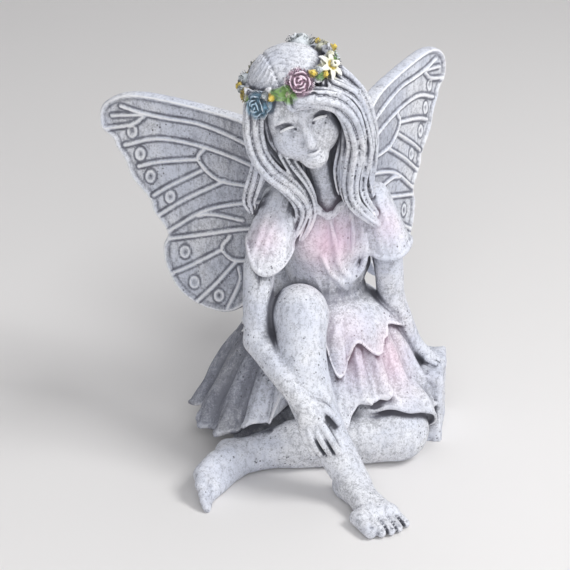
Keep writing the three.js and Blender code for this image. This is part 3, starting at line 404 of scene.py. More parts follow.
# Right arm and the hand on the shin
R_ELBOW = arr([-8.4, 3, 48.4])
R_WRIST = arr([6.2, -15, 34])
add(tube([R_SHOULDER, [-8.2, 8.6, 72], R_ELBOW], lambda t: ARM * (1.06 - 0.16 * t), 4), 1.5)
add(tube([R_ELBOW, [-3, -5.5, 43.6], R_WRIST], lambda t: ARM * (0.98 - 0.32 * t), 4), 1.2)
ON_SHIN = arr([0, 3.4, -1.5])
add(egg(arr([8.6, -20.4, 31.4]) + ON_SHIN, [4.4, 2.6, 5.4], turned(-35, 10, 12)), 1.2)
for run in ([[5.4, -20.6, 29.2], [6.4, -21.8, 25.8], [9.4, -20.8, 19.8]],
            [[7.4, -21.8, 29], [8.9, -23.2, 25], [11.4, -22, 20.2]],
            [[9.6, -22.2, 29.2], [11.9, -23.8, 25.4], [14.2, -22.6, 20.8]],
            [[11.6, -22.2, 30.4], [14.6, -23.8, 26.2], [17, -22.4, 20.8]]):
    add(tube(arr(run) + ON_SHIN, lambda t: FINGER * (1.1 - 0.25 * t), 4), 0.35)
add(tube(arr([[8.8, -19, 36], [13.4, -19.4, 34.6], [16.9, -20, 30.4]]) + ON_SHIN,
         lambda t: FINGER * (1.3 - 0.4 * t), 3), 0.8)

# Left arm propped on the block
L_ELBOW = arr([35.2, 31.6, 50.5])
L_WRIST = arr([43, 35.4, 31.6])
add(tube([L_SHOULDER, [33.4, 27, 70], L_ELBOW], lambda t: ARM * (1.06 - 0.18 * t), 4), 1.5)
add(cone(L_ELBOW, L_WRIST, ARM * 0.92, ARM * 0.66), 1.2)
add(cone(L_WRIST, [48.6, 36.4, 26.4], ARM * 0.62, ARM * 0.5), 1.5)
for start, end in (([48, 34, 26.2], [52, 32.6, 24.4]), ([49, 36, 26.2], [53.8, 35.8, 23.8]),
                   ([49, 38, 26], [53.8, 38.8, 23.6]), ([48, 40, 25.8], [52, 42, 24])):
    add(cone(start, end, FINGER * 1.05, FINGER * 0.9), 0.5)


# Petal sleeves
def sleeve(top, low, width, point, fall):
    lo, hi, body = cone(top, low, width * 0.44, width * 0.56)
    side = unit(np.cross(arr(low) - arr(top), [0, 1, 0]))
    point = arr(point)

    def f(p):
        off = np.abs((p - point) @ side)
        edge = (point[2] + off * off * fall - p[:, 2]) * 0.8
        d = body(p)
        rim = np.hypot(d + 0.3, edge + 0.5) - 0.85
        d = d + 0.22 * np.sin(off * 2.2 + 0.2 * p[:, 2])
        return np.minimum(smax(d, edge, 0.4), rim)
    return lo, hi, f


SLEEVE = 15 / U
add(sleeve(R_SHOULDER + arr([0.6, 0, 0.4]), [-6.6, 8.2, 73.4], SLEEVE, [-5.8, 6, 72], 0.1), 0.3)
add(sleeve(L_SHOULDER + arr([-0.2, 0, 0.2]), [33.6, 26.2, 71.4], SLEEVE, [33.6, 24, 69.4], 0.05), 0.3)

# Folded collar meeting in a V, and the gather below it
add(tube([[3.6, 17.6, 94.6], [8, 13.2, 92], [13.6, 12.4, 87.4], [18.4, 14.4, 91], [21.4, 19, 94.4]],
         lambda t: 1.2 / U, 10, 2, 0.25, 6), 0.3)
for run, thick in (
        ([[14, 14.4, 86.4], [15.6, 14, 80], [16.6, 15.4, 73], [18.4, 17.4, 66], [22, 22.4, 61]], 0.8),
        ([[21.4, 16.8, 86], [22, 15.6, 79], [21.6, 16.4, 73]], 0.7),
        ([[24.6, 19.6, 80], [26.2, 20.4, 72], [25, 20.6, 65.6], [21, 20.2, 61.4], [16.6, 21, 60]], 0.8),
        ([[12, 14.8, 72], [14.6, 16.6, 66], [18, 19, 61.6], [20, 22, 58]], 0.7)):
    add(tube(arr(run) + arr([0, 0.5, 0]),
             lambda t, w=thick: 1.35 * w * (0.45 + 0.55 * math.sin(math.pi * t)), 8), 1.6)

# Wings
WING_OUTLINE = [
    (3, 92), (14, 103), (25, 110.2), (40.5, 113), (59, 114.6), (68.5, 114.2), (74, 112.3),
    (78.4, 109), (79.8, 104.6), (78.8, 100.4), (74.6, 97.4), (73.8, 94.8), (70.6, 90.6),
    (68.1, 84.4), (61.6, 77.6), (60.6, 73.8), (55.4, 66.8), (57.2, 61.5), (56.1, 54.1),
    (51.5, 46.3), (44.3, 42), (36, 40.7), (30, 42.4), (23, 48.5), (16, 59), (6, 70), (1, 80)]
WING_VEINS = [
    [(12, 92), (22.4, 100.8), (40.7, 106.6), (55.5, 107.3), (64, 107.9), (71.5, 109.3)],
    [(63.5, 107.3), (68.8, 106.6), (75, 105.5)], [(63.1, 106.7), (67.9, 103.3), (77.9, 100.6)],
    [(12, 88), (22.4, 94.6), (40.8, 99.1), (57.6, 99.8), (70.6, 95.7)],
    [(41, 99), (43.3, 94.4), (36.3, 88.5), (23.4, 88)],
    [(43.2, 94.7), (57.4, 91.7), (65.6, 88.9)], [(42.3, 90.8), (54.3, 83.5), (60.1, 79.4)],
    [(34, 88.4), (48.2, 79.9), (58.4, 72.5)], [(14, 84), (26.2, 81.9), (41.2, 76.8), (55.7, 66.6)],
    [(27.6, 75.5), (38.4, 75.9), (44, 74.5)],
    [(12, 76), (28.3, 72.2), (40, 68.7), (54.9, 64.4)],
    [(32.3, 69), (35.1, 64.1), (30, 60.6), (18, 64)], [(35.2, 63.7), (46, 56.5), (54, 51.8)],
    [(30, 60.3), (37.9, 50.5), (44.5, 43.4)], [(29.1, 58.2), (28.7, 53.3), (33.3, 42.6)]]
WING_SPOTS = [
    (67.6, 100.9), (64.9, 93.3), (61.3, 85.9), (54.1, 79.6), (49.1, 60.5), (45.8, 49.9), (36.7, 46.5)]
WINGS = (((12, 29), 157, 0), ((17, 32.6), 61.4, 4))  # root, bearing, lift
# Maps over a wing's plane: u out from the root, v up
MAP_STEP = 0.25
VEIN = 0.55
GRID_U = np.arange(-4, 88, MAP_STEP)
GRID_V = np.arange(32, 124, MAP_STEP)
MESH_U, MESH_V = np.meshgrid(GRID_U, GRID_V, indexing="ij")


def flat_run(points, closed, count):
    q = [(u * WING, 80 + (v - 80) * WING, 0) for u, v in points]
    if closed:
        q = q + q[:1]
    return run_through(q, count)[:, :2]


def map_gap(a, b):
    """Distance from each place of the map to the line from a to b."""
    d = b - a
    t = clamp(((MESH_U - a[0]) * d[0] + (MESH_V - a[1]) * d[1]) / (d @ d + 1e-9))
    return np.hypot(MESH_U - a[0] - d[0] * t, MESH_V - a[1] - d[1] * t)


line = flat_run(WING_OUTLINE, True, 108)
edge_map = np.full(MESH_U.shape, 1e9)
inside = np.zeros(MESH_U.shape, bool)
for a, b in zip(line[:-1], line[1:]):
    edge_map = np.minimum(edge_map, map_gap(a, b))
    crosses = (a[1] > MESH_V) != (b[1] > MESH_V)
    where = (b[0] - a[0]) * (MESH_V - a[1]) / (b[1] - a[1] + 1e-12) + a[0]
    inside ^= crosses & (MESH_U < where)
edge_map = np.where(inside, -edge_map, edge_map)
vein_map = np.full(MESH_U.shape, 1e9)
for points in WING_VEINS:
    run = flat_run(points, False, 5 * len(points))
    for a, b in zip(run[:-1], run[1:]):
        vein_map = np.minimum(vein_map, map_gap(a, b))
spot_map, ring_map = np.zeros(MESH_U.shape), np.full(MESH_U.shape, 9.0)
for u, v in WING_SPOTS:
    du, dv = MESH_U - u * WING, MESH_V - 80 - (v - 80) * WING
    ring = np.hypot((du + 0.4 * dv) / 1.5, (dv - 0.4 * du) / 1.95)
    ring_map = np.minimum(ring_map, ring)
    spot_map += 0.5 * bell(ring, 1, 0.3) - 0.35 * bell(ring, 0, 0.55)
relief = 1.1 * np.maximum(bell(edge_map, -0.9, 0.8, 4), bell(vein_map, 0, VEIN))
grain = 0.10 * np.sin(MESH_U * 1.7 + 2 * np.sin(MESH_V * 0.6)) * np.sin(MESH_V * 2.3 + MESH_U * 0.4)
half_map = WALL / 2 - 0.62 + 1.6 * np.exp(-MESH_U / 14) + relief + spot_map * 0.55 + grain


def look_up(table, u, v):
    i = np.clip((u - GRID_U[0]) / MAP_STEP, 0, len(GRID_U) - 1.001)
    j = np.clip((v - GRID_V[0]) / MAP_STEP, 0, len(GRID_V) - 1.001)
    a, b = i.astype(int), j.astype(int)
    s, t = i - a, j - b
    return ((table[a, b] * (1 - s) + table[a + 1, b] * s) * (1 - t)
            + (table[a, b + 1] * (1 - s) + table[a + 1, b + 1] * s) * t)


def on_wing(p, root, bearing, lift):
    """Place along, off and up the plane of a wing."""
    ca, sa = heading(bearing)
    u = (p[:, 0] - root[0]) * ca + (p[:, 1] - root[1]) * sa
    n = (p[:, 1] - root[1]) * ca - (p[:, 0] - root[0]) * sa
    return u, n, p[:, 2] - lift


def wing_piece(root, bearing, lift):
    rounding = 0.8

    def f(p):
        u, n, v = on_wing(p, root, bearing, lift)
        qx = look_up(edge_map, u, v) + rounding
        qy = np.abs(n) - look_up(half_map, u, v) + rounding
        outside = np.hypot(np.maximum(qx, 0), np.maximum(qy, 0))
        return outside + np.minimum(np.maximum(qx, qy), 0) - rounding
    ca, sa = heading(bearing)
    tip = [root[0] + ca * 82 * WING, root[1] + sa * 82 * WING, 116 + lift]
    return around([[root[0], root[1], 38], tip], 5, f)


for root, bearing, lift in WINGS:
    add(wing_piece(root, bearing, lift), 2)

# Head
HEAD = arr([3.8, 6.4, 126.2])
head_axes = turned(-18.5, 6, 9)


def from_head(x, y, z):
    return HEAD + (arr([x, y, z]) * HEAD_SIZE) @ head_axes


def head_egg(c, r, k=1.2):
    add(egg(from_head(*c), arr(r) * HEAD_SIZE, head_axes), k)


def bow(side, x, y, z, places):
    """Curve across the face round x; y and z are each a middle value and how far it bows."""
    return [from_head(side * (x + d), y[0] + y[1] * d * d, z[0] + z[1] * d * d) for d in places]


head_egg([0, 1.5, 3], [12, 13, 12.6])
head_egg([0, -3, -4.6], [10.8, 8.8, 11])
head_egg([0, -7.6, -12.6], [4.2, 4.2, 4])
head_egg([-5, -6.8, -5.6], [4.8, 4, 5.2])
head_egg([5, -6.8, -5.6], [4.8, 4, 5.2])
add(tube([from_head(0, -11.6, 0.6), from_head(0, -12.2, -2.6), from_head(0, -13.4, -6)],
         lambda t: (0.75 + 0.75 * t) * HEAD_SIZE, 4), 1.5)
EYE_X = 4.6
for side in (-1, 1):
    head_egg([1.25 * side, -12.0, -6.6], [0.95, 1.1, 0.85], 0.5)
    carve(egg(from_head(EYE_X * side, -12.1, -0.5), arr([2.9, 1.6, 1.6]) * HEAD_SIZE, head_axes), 1.6)
    head_egg([EYE_X * side, -9.1, -0.9], [2.3, 1.75, 1.4], 0.3)
    # upper lid, lower lid, the line under the lashes, brow
    for join, y, z, places, thick, soft in (
            (add, (-11.0, 0.16), (0.1, -0.14), (-2.2, -1.1, 0, 1.1, 2.2), 0.42, 0.15),
            (add, (-10.65, 0.16), (-1.9, 0.12), (-2, -1, 0, 1, 2), 0.26, 0.3),
            (carve, (-11.15, 0.16), (-0.75, -0.12), (-2, -1, 0, 1, 2), 0.34, 0.15),
            (add, (-10.5, 0.12), (2.7, -0.1), (-2.6, -1, 0.8, 3), 0.6, 1.6)):
        join(tube(bow(side, EYE_X, y, z, places), lambda t, w=thick: w * HEAD_SIZE, 8), soft)
    carve(egg(from_head(0.8 * side, -13.6, -7.5), arr([0.42, 0.5, 0.36]) * HEAD_SIZE, head_axes), 0.2)
upper_lip = [from_head(x, -11.5 + 0.2 * x * x, -10.25 + 0.02 * x * x + 0.14 * abs(math.sin(x * 1.3)))
             for x in np.linspace(-2.3, 2.3, 7)]
add(tube(upper_lip, lambda t: (0.22 + 0.34 * math.sin(math.pi * t)) * HEAD_SIZE, 12), 0.4)
add(tube(bow(1, 0, (-11.4, 0.22), (-11.55, 0.1), np.linspace(-1.8, 1.8, 7)),
         lambda t: (0.2 + 0.42 * math.sin(math.pi * t)) * HEAD_SIZE, 12), 0.4)
carve(tube(bow(1, 0, (-12.0, 0.22), (-10.9, 0.03), np.linspace(-2.2, 2.2, 7)),
           lambda t: 0.42 * HEAD_SIZE, 12), 0.15)
# the curl on the forehead
add(tube([from_head(0.5, -10.4, 9.5), from_head(1.9, -11.6, 7.4), from_head(0.9, -12.2, 5.6)],
         lambda t: (1.1 - 0.7 * t) * HEAD_SIZE, 8, 3, 0.3, 0.6), 0.3)


def hair_cap(p):
    q = (p - HEAD) @ head_axes.T / HEAD_SIZE
    a, b, c = q.T
    k0 = length(a / 13.9, (b - 2.8) / 14.4, (c - 2.4) / 15.4)
    top = clamp((c - 7) / 3)
    sweep = b + 0.55 * np.abs(a + 3.6) + 0.8 * np.sin(0.45 * a + 0.25 * c)
    combed = (0.6 * np.sin(3.4 * sweep + 1.2 * np.sin(0.8 * a))
              + 0.45 * np.sin(6.3 * sweep + 2 * np.sin(0.5 * a)))
    turn = np.arctan2(a, b - 2.8)
    hanging = np.sin(17 * turn + 1.6 * np.sin(0.3 * c)) + 0.6 * np.sin(31 * turn + 0.5 * c)
    parting = bell(a + 3.6 + 0.1 * b, 0, 0.45) * (c > 6)
    shell = (k0 - 1) * 14.2 - 0.2 * (combed * top + hanging * (1 - top)) + 0.45 * parting
    opening = length(a / 10.5, (b + 16) / 14, (c + 5) / 13.6) * 10 - 10
    return smax(shell, -opening, 0.8) * HEAD_SIZE


add(around([HEAD], 20 * HEAD_SIZE, hair_cap), 0.7)

# Long locks and the fall of hair down the back
for run, share in (
        ([[3, -9.6, 133.4], [9.5, -9.6, 134.4], [15.4, -7.4, 132.4], [19.4, -4, 127], [21.2, 0, 120.5],
          [22, 2.4, 115], [21, 5, 108], [20.3, 8, 100.5], [21.3, 10, 94], [24.6, 12.4, 89],
          [29.4, 16, 83.4]], 1.15),
        ([[13, -5, 137], [20, -0.8, 131.6], [23.8, 4, 121.4], [25, 7.4, 112], [23.9, 10, 104],
          [23.4, 12.4, 97.7], [25.4, 14, 91.6], [29, 18, 86]], 1),
        ([[16, 3, 137.6], [22.4, 7, 130], [26, 11.6, 117.3], [26.8, 14.6, 106.6], [26.4, 17, 99.5],
          [27.6, 20, 92]], 1),
        ([[16.4, -3.6, 130], [19.4, 0.6, 123.4], [20, 4.4, 116.2], [19, 8, 106.2], [18.8, 11.6, 98.1],
          [19.5, 13.4, 92]], 0.75),
        ([[19, 3.6, 121.5], [18.6, 7.4, 112.5], [17, 11.4, 103.7], [17.6, 14.6, 94.7]], 0.8),
        ([[-9.4, -4, 129], [-9.6, -2, 120.3], [-7.8, -0.4, 112.5], [-4, 1, 106.5], [1.3, 4, 100.8],
          [4.5, 8, 95], [5.4, 11, 90.3], [4.2, 12.6, 84.8], [1.7, 12, 79.9]], 1.1),
        ([[-0.3, 1, 113.7], [1.9, 4, 107.7], [5.3, 7.4, 101], [7.6, 10.6, 94.2], [8.2, 13, 88.5],
          [6.9, 14, 83.3], [5.1, 14, 79.1]], 0.8),
        ([[-6.8, 7, 112.1], [-8, 9.6, 104.1], [-10.1, 12.4, 97.3], [-11.4, 14, 92.5],
          [-10.4, 14.6, 88.4]], 1),
        ([[-7, 0, 125.4], [-5.4, 2, 116.6], [-0.4, 4.4, 109.3], [3, 8.4, 103], [4.7, 12, 97.2]], 0.9)):
    add(tube(run, lambda t, s=share: LOCK * s * (1.05 - 0.55 * t ** 3), 2 * len(run), 6, 0.75, 1.1), 0.3)
FALL = arr([[8, 15, 124], [12, 23, 112], [16, 31, 100], [19, 35.6, 88], [20, 38, 76]])
add(tube(FALL, lambda t: 11.5 - 6 * t, 8), 2)
for i in range(-3, 4):
    strand = [p + arr([i * (3.4 - 0.45 * k), (10.8 - 1.6 * k) * math.cos(i * 0.42), 0])
              for k, p in enumerate(FALL)]
    add(tube(strand, lambda t: LOCK * (1.05 - 0.25 * t), 8, 6, 0.7, 0.9), 0.3)

# Flower crown
CROWN_AT = HEAD + arr([-2.7, -1.8, 10.9]) * HEAD_SIZE
crown_axes = turned(-24, 0, 3)
flowers = []


def on_crown(angle, out=0.0, up=0.0):
    ex, ey, ez = crown_axes
    r = CROWN + out
    t = math.radians(angle)
    return CROWN_AT + ex * r * math.sin(t) - ey * r * math.cos(t) + ez * up


def outward(angle, up=0.35):
    return unit(unit(on_crown(angle, 1) - on_crown(angle, 0)) + crown_axes[2] * up)


VINE_WIND = 0.75
for phase in (0, 120, 240):
    winds = [(a, math.radians(5 * a + phase)) for a in range(0, 361, 15)]
    vine = [on_crown(a, VINE_WIND * math.cos(w), VINE_WIND * math.sin(w)) for a, w in winds]
    add(tube(vine, lambda t: 0.95, 48), 0.25)


def in_flower(p, centre, out, size):
    """Height along the flower's axis and place across it, as shares of its size."""
    side = unit(np.cross(out, [0.3, 0.2, 1]))
    over = np.cross(side, out)
    q = p - centre
    return (q @ out) / size, (q @ side) / size, (q @ over) / size


# Petals of a rose from the heart out: radius at the base and the rim, height, count, turn
ROSE_SHELLS = ((0.08, 0.16, 0.62, 2, 0.0), (0.2, 0.38, 0.6, 3, 0.7), (0.34, 0.66, 0.46, 4, 1.9),
               (0.5, 1.0, 0.2, 5, 0.4))


def rose_piece(centre, out, size, turn):
    """Layered shells of petals round the axis, opening outwards."""
    def f(p):
        h, a, b = in_flower(p, centre, out, size)
        r = np.hypot(a, b)
        angle = np.arctan2(b, a) + turn
        d = length(a, b, h + 0.25) - 0.62
        for base, rim, top, count, phase in ROSE_SHELLS:
            turns = (angle + phase) * count / (2 * np.pi)
            saw = turns - np.floor(turns)
            height = top - 0.22 * (2 * saw - 1) ** 4
            s = np.clip((h + 0.3) / (height + 0.3), 0, 1.2)
            wall = base + (rim - base) * s ** 2.2 + 0.09 * (saw - 0.5)
            shell = np.abs(r - wall) - 0.055
            d = np.minimum(d, np.maximum(np.maximum(shell * 0.75, h - height), -h - 0.35))
        return d * size
    return around([centre], size * 1.15, f)


def lily_piece(centre, out, size, turn):
    """Open star of pointed petals with a small cup at its heart."""
    petal_count = 6

    def f(p):
        h, a, b = in_flower(p, centre, out, size)
        r = np.hypot(a, b)
        angle = np.arctan2(b, a) + turn
        near = (angle * petal_count / (2 * np.pi)) % 1 - 0.5
        width = 0.46 * np.sin(np.pi * clamp(r / 1.08)) ** 0.8
        v = near * 2 * np.pi / petal_count * r
        bend = 0.32 - 0.75 * (r - 0.55) ** 2
        sheet = np.abs(h - bend + 0.9 * v * v + 0.05 * bell(v, 0, 0.04)) - 0.07
        petals = np.maximum(np.maximum(sheet * 0.8, np.abs(v) - width * 0.5), r - 1.05)
        heart = length(a, b, h) - 0.3
        stalk = np.maximum(np.abs(r - 0.16) - 0.06, h - 0.7)
        return np.minimum(np.minimum(petals, heart), np.maximum(stalk, -h)) * size
    return around([centre], size * 1.15, f)


def leaf_piece(start, end, width, up):
    start, end = arr(start), arr(end)
    along = unit(end - start)
    size = np.linalg.norm(end - start)
    normal = unit(arr(up) - along * (arr(up) @ along))
    across = np.cross(normal, along)

    def f(p):
        q = p - start
        s = (q @ along) / size
        v = q @ across
        h = q @ normal - 0.12 * v * v + 0.9 * s * s
        w = width * np.sin(np.pi * clamp(s)) ** 0.75
        rib = 0.2 * bell(v, 0, 0.25) + 0.08 * np.cos(v * 5 - s * 16)
        body = np.abs(h + 0.12 * np.abs(v)) - 0.42 - rib * (s > 0)
        return np.maximum(np.maximum(body * 0.8, np.abs(v) - w), np.maximum(-s, s - 1) * size)
    return around([start, end], width + 1.2, f)


BLUE, PINK, CREAM = (0.30, 0.56, 0.76), (0.80, 0.50, 0.66), (0.90, 0.88, 0.62)
YELLOW, GREY, GREEN = (0.88, 0.66, 0.08), (0.66, 0.72, 0.74), (0.24, 0.46, 0.10)
for angle, out, up, share, kind, colour in (
        (-44, 1.4, -2.2, 1.05, "rose", BLUE), (14, 1.2, 0.8, 1.05, "rose", PINK),
        (59, 1.2, -0.8, 1, "lily", CREAM), (84, 1, -1, 0.62, "rose", GREY),
        (122, 0.8, 0.6, 0.62, "rose", CREAM), (158, 1, 2, 1.1, "rose", GREY),
        (-172, 0.8, 1.6, 0.7, "rose", PINK), (-138, 0.8, 1.6, 0.7, "rose", CREAM),
        (-109, 0.8, 1.6, 0.7, "rose", GREY), (-80, 1, -0.8, 0.62, "rose", YELLOW)):
    centre = on_crown(angle, out, up)
    way = outward(angle)
    maker = rose_piece if kind == "rose" else lily_piece
    add(maker(centre, way, ROSE * share, math.radians(angle * 3)), 0.15)
    flowers.append((centre, way, ROSE * share * 1.05, colour, kind))
leaf_spots = []
for i, angle in enumerate((
        -64, -57, -30, -22, -2, 32, 40, 46, 72, 98, 110, 136, 176, -162, -150, -128, -120, -96, -90)):
    colour = (CREAM, YELLOW, GREY, YELLOW)[i % 4]
    drop = 1.2 if -70 < angle < -20 else 0
    centre = on_crown(angle, 1.5 + 0.7 * (i % 2), (0.9, -1.2, 1.6)[i % 3] - drop)
    way = outward(angle)
    add(rose_piece(centre, way, ROSE * (0.42, 0.34)[i % 2], i * 1.3), 0.12)
    flowers.append((centre, way, ROSE * 0.42, colour, "rose"))
for first, last in ((-24, -5), (-14, 8), (-66, -58), (36, 45), (72, 84), (102, 112), (140, 132),
                    (-156, -148), (-122, -118), (-94, -90)):
    start = on_crown(first, 1, 0.4)
    end = on_crown(last, 2.4, 0) - crown_axes[2] * 1.8
    add(leaf_piece(start, end, 1.5, outward(first)), 0.15)
    leaf_spots.append((start, end))
# pale leaves all round the band
for i, first in enumerate(range(-170, 180, 20)):
    high = 2.6 if i % 2 and abs(first) < 120 else -2.6
    add(leaf_piece(on_crown(first, 0.5, 0.3), on_crown(first + 9, 1.9, high), 1.25, outward(first)), 0.12)


# Field on a rectilinear grid, finer round the head
def axis_of(lo, hi, spans, coarse, fine):
    out = [lo]
    while out[-1] < hi:
        v = out[-1]
        h = fine if any(a <= v <= b for a, b in spans) else coarse
        out.append(v + h)
    return arr(out)


MOST = 196000  # triangles in one mesh
FAR = 9.0  # distances past this don't matter
FLOOR_Z = -2.2
COARSE, FINE = ((0.56, 0.29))
LOW = arr([-63.5, -44.5, FLOOR_Z])
HIGH = arr([60, 106, 148.5])
for lo, hi, f, k in pieces:
    LOW = np.minimum(LOW, np.maximum(lo - 2, [-70, -50, FLOOR_Z]))
    HIGH = np.maximum(HIGH, np.minimum(hi + 2, [70, 112, 150]))
xs = axis_of(LOW[0], HIGH[0], [(-17, 22)], COARSE, FINE)
ys = axis_of(LOW[1], HIGH[1], [(-13, 14)], COARSE, FINE)
zs = axis_of(LOW[2], HIGH[2], [(106, 149)], COARSE, FINE)
AXES = (xs, ys, zs)
SHAPE = tuple(len(a) for a in AXES)


def joined(points, chosen):
    d = np.full(len(points), FAR)
    for i in chosen:
        lo, hi, f, k = pieces[i]
        e = f(points)
        d = smin(d, e, k) if k > 0 else smax(d, -e, -k)
    return d


LOS = arr([p[0] for p in pieces])
HIS = arr([p[1] for p in pieces])
REACH = arr([abs(p[3]) for p in pieces])[:, None] + 1.2
CHUNK = 10
field = np.full(SHAPE, FAR, dtype=np.float32)
for i in range(0, SHAPE[0], CHUNK):
    for j in range(0, SHAPE[1], CHUNK):
        x, y = xs[i:i + CHUNK], ys[j:j + CHUNK]
        for k in range(0, SHAPE[2], CHUNK):
            z = zs[k:k + CHUNK]
            here = np.s_[i:i + CHUNK, j:j + CHUNK, k:k + CHUNK]
            lo = arr([x[0], y[0], z[0]])
            hi = arr([x[-1], y[-1], z[-1]])
            chosen = np.nonzero(((LOS - REACH < hi) & (HIS + REACH > lo)).all(1))[0]
            if not len(chosen):
                continue
            probe = joined(arr([(lo + hi) / 2]), chosen)[0]
            span = np.linalg.norm(hi - lo) / 2
            if abs(probe) > span * 1.5 + 2.6:
                field[here] = FAR if probe > 0 else -FAR
                continue
            grid = np.stack(np.meshgrid(x, y, z, indexing="ij"), -1).reshape(-1, 3)
            field[here] = joined(grid, chosen).reshape(len(x), len(y), len(z))
# flat underside
field = np.maximum(field, -zs[None, None, :].astype(np.float32))


CORNERS = [(a, b, c) for a in (0, 1) for b in (0, 1) for c in (0, 1)]


# Surface nets: one vertex to a cell that the surface crosses, one quad to a crossed edge
def surface_nets(f):
    s = f < 0
    n = [d - 1 for d in f.shape]
    count = np.zeros(n, np.uint8)
    for dx, dy, dz in CORNERS:
        count += s[dx:n[0] + dx, dy:n[1] + dy, dz:n[2] + dz]
    cells = np.argwhere((count > 0) & (count < 8))
    number = np.full(n, -1, np.int64)
    number[tuple(cells.T)] = np.arange(len(cells))
    total = np.zeros((len(cells), 3))
    hits = np.zeros(len(cells))
    for p in CORNERS:
        for ax in range(3):
            if p[ax]:
                continue
            q = list(p)
            q[ax] = 1
            ia = tuple((cells + p).T)
            ib = tuple((cells + q).T)
            va, vb = f[ia], f[ib]
            m = (va < 0) != (vb < 0)
            t = np.where(m, va / np.where(m, va - vb, 1), 0)
            pa = np.stack([AXES[d][ia[d]] for d in range(3)], 1)
            pb = np.stack([AXES[d][ib[d]] for d in range(3)], 1)
            total += np.where(m[:, None], pa + (pb - pa) * t[:, None], 0)
            hits += m
    verts = total / hits[:, None]
    quads = []
    for ax in range(3):
        u, v = (ax + 1) % 3, (ax + 2) % 3
        a = np.moveaxis(s, ax, 0)
        change = a[:-1] != a[1:]
        change = np.moveaxis(change, 0, ax)
        idx = np.argwhere(change)
        keep = ((idx[:, u] > 0) & (idx[:, v] > 0)
                & (idx[:, u] < f.shape[u] - 1) & (idx[:, v] < f.shape[v] - 1))
        idx = idx[keep]
        flip = s[tuple(idx.T)]
        cells4 = []
        for du, dv in ((-1, -1), (0, -1), (0, 0), (-1, 0)):
            q = idx.copy()
            q[:, u] += du
            q[:, v] += dv
            cells4.append(number[tuple(q.T)])
        quad = np.stack(cells4, 1)
        quad[~flip] = quad[~flip][:, ::-1]
        quads.append(quad)
    return verts, np.vstack(quads)


verts, quads = surface_nets(field)


def trilinear(table, ids, ts):
    out = 0
    for corner in CORNERS:
        w = 1.0
        for bit, t in zip(corner, ts):
            w = w * (t if bit else 1 - t)
        out = out + w * table[tuple(i + bit for i, bit in zip(ids, corner))]
    return out


def read(items, name, width=1):
    values = np.zeros(len(items) * width)
    items.foreach_get(name, values)
    return values.reshape(-1, width)


def write(mesh, label, kind, field_name, values):
    layer = mesh.attributes.new(label, kind, "POINT")
    layer.data.foreach_set(field_name, np.ravel(values).astype(np.float32))


def sample_field(p):
    ids, ts = [], []
    for d in range(3):
        i = np.clip(np.searchsorted(AXES[d], p[:, d]) - 1, 0, SHAPE[d] - 2)
        ids.append(i)
        ts.append(clamp((p[:, d] - AXES[d][i]) / (AXES[d][i + 1] - AXES[d][i])))
    return trilinear(field, ids, ts)


low_box, high_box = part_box("fairy_figurine")
world = np.stack([(verts[:, 0] - MIDDLE[0]) * U, (verts[:, 1] - MIDDLE[1]) * U, verts[:, 2] * U], 1) / 1000
world = np.clip(world, arr(low_box) + 1e-5, arr(high_box) - 1e-5)
facing = np.cross(world[quads[:, 2]] - world[quads[:, 0]], world[quads[:, 3]] - world[quads[:, 1]])
normals = np.stack([sum(np.bincount(quads[:, k], facing[:, d], len(world)) for k in range(4))
                    for d in range(3)], 1)
normals /= np.linalg.norm(normals, axis=1, keepdims=True) + 1e-12


# The surface is kept as three meshes that meet exactly: body, head and wings
centres = verts[quads].mean(1)
HEAD_FROM_Z = 103
WING_FROM_U = 9
part = np.where(centres[:, 2] > HEAD_FROM_Z, 1, 0)
for root, bearing, lift in WINGS:
    u, n, v = on_wing(centres, root, bearing, lift)
    part[(u > WING_FROM_U) & (np.abs(n) < 4.2) & (look_up(edge_map, u, v) < 1.5)] = 2
shared = sum(np.bincount(quads[part == k].ravel(), minlength=len(verts)) > 0 for k in range(3)) > 1

# Wide hollows: share of solid within a few millimetres, from a blurred coarse copy; it paints shade and wash
# into the hollows
WIDE = 1.4
BLUR = 5
wide_axes = [np.arange(a[0], a[-1], WIDE) for a in AXES]
index = [np.clip(np.searchsorted(a, w), 0, len(a) - 1) for a, w in zip(AXES, wide_axes)]
solid = (field[np.ix_(*index)] < 0).astype(np.float32)
for turn in range(3):
    for ax in range(3):
        padded = np.pad(solid, [(BLUR // 2,) * 2 if d == ax else (0, 0) for d in range(3)], mode="edge")
        total = np.cumsum(np.insert(padded, 0, 0, axis=ax), axis=ax)
        last = total.shape[ax]
        solid = (np.take(total, np.arange(BLUR, last), ax) - np.take(total, np.arange(last - BLUR), ax)) / BLUR


# Masks for the material, one value to a point of the mesh
SHELL = ((0.7, 0.3), (1.5, 0.35), (2.8, 0.35))  # how far out the field is read for creases, and weight
# places with less painted shade and wash: centre, reach and share
LESS_SHADE_AND_WASH = ((from_head(0, -9, -4), 12 * HEAD_SIZE, 0.35), (arr([16, 16, 73]), 17, 0.8))
BLUSHES = (([14, 16, 77], 9, 1.0), ([-7, 4, 84], 6, 0.55), ([34, 18, 82], 6, 0.5),
           ([38, 16, 36], 10, 0.8), ([26, 8, 38], 8, 0.55), ([22, 10, 48], 9, 0.35))


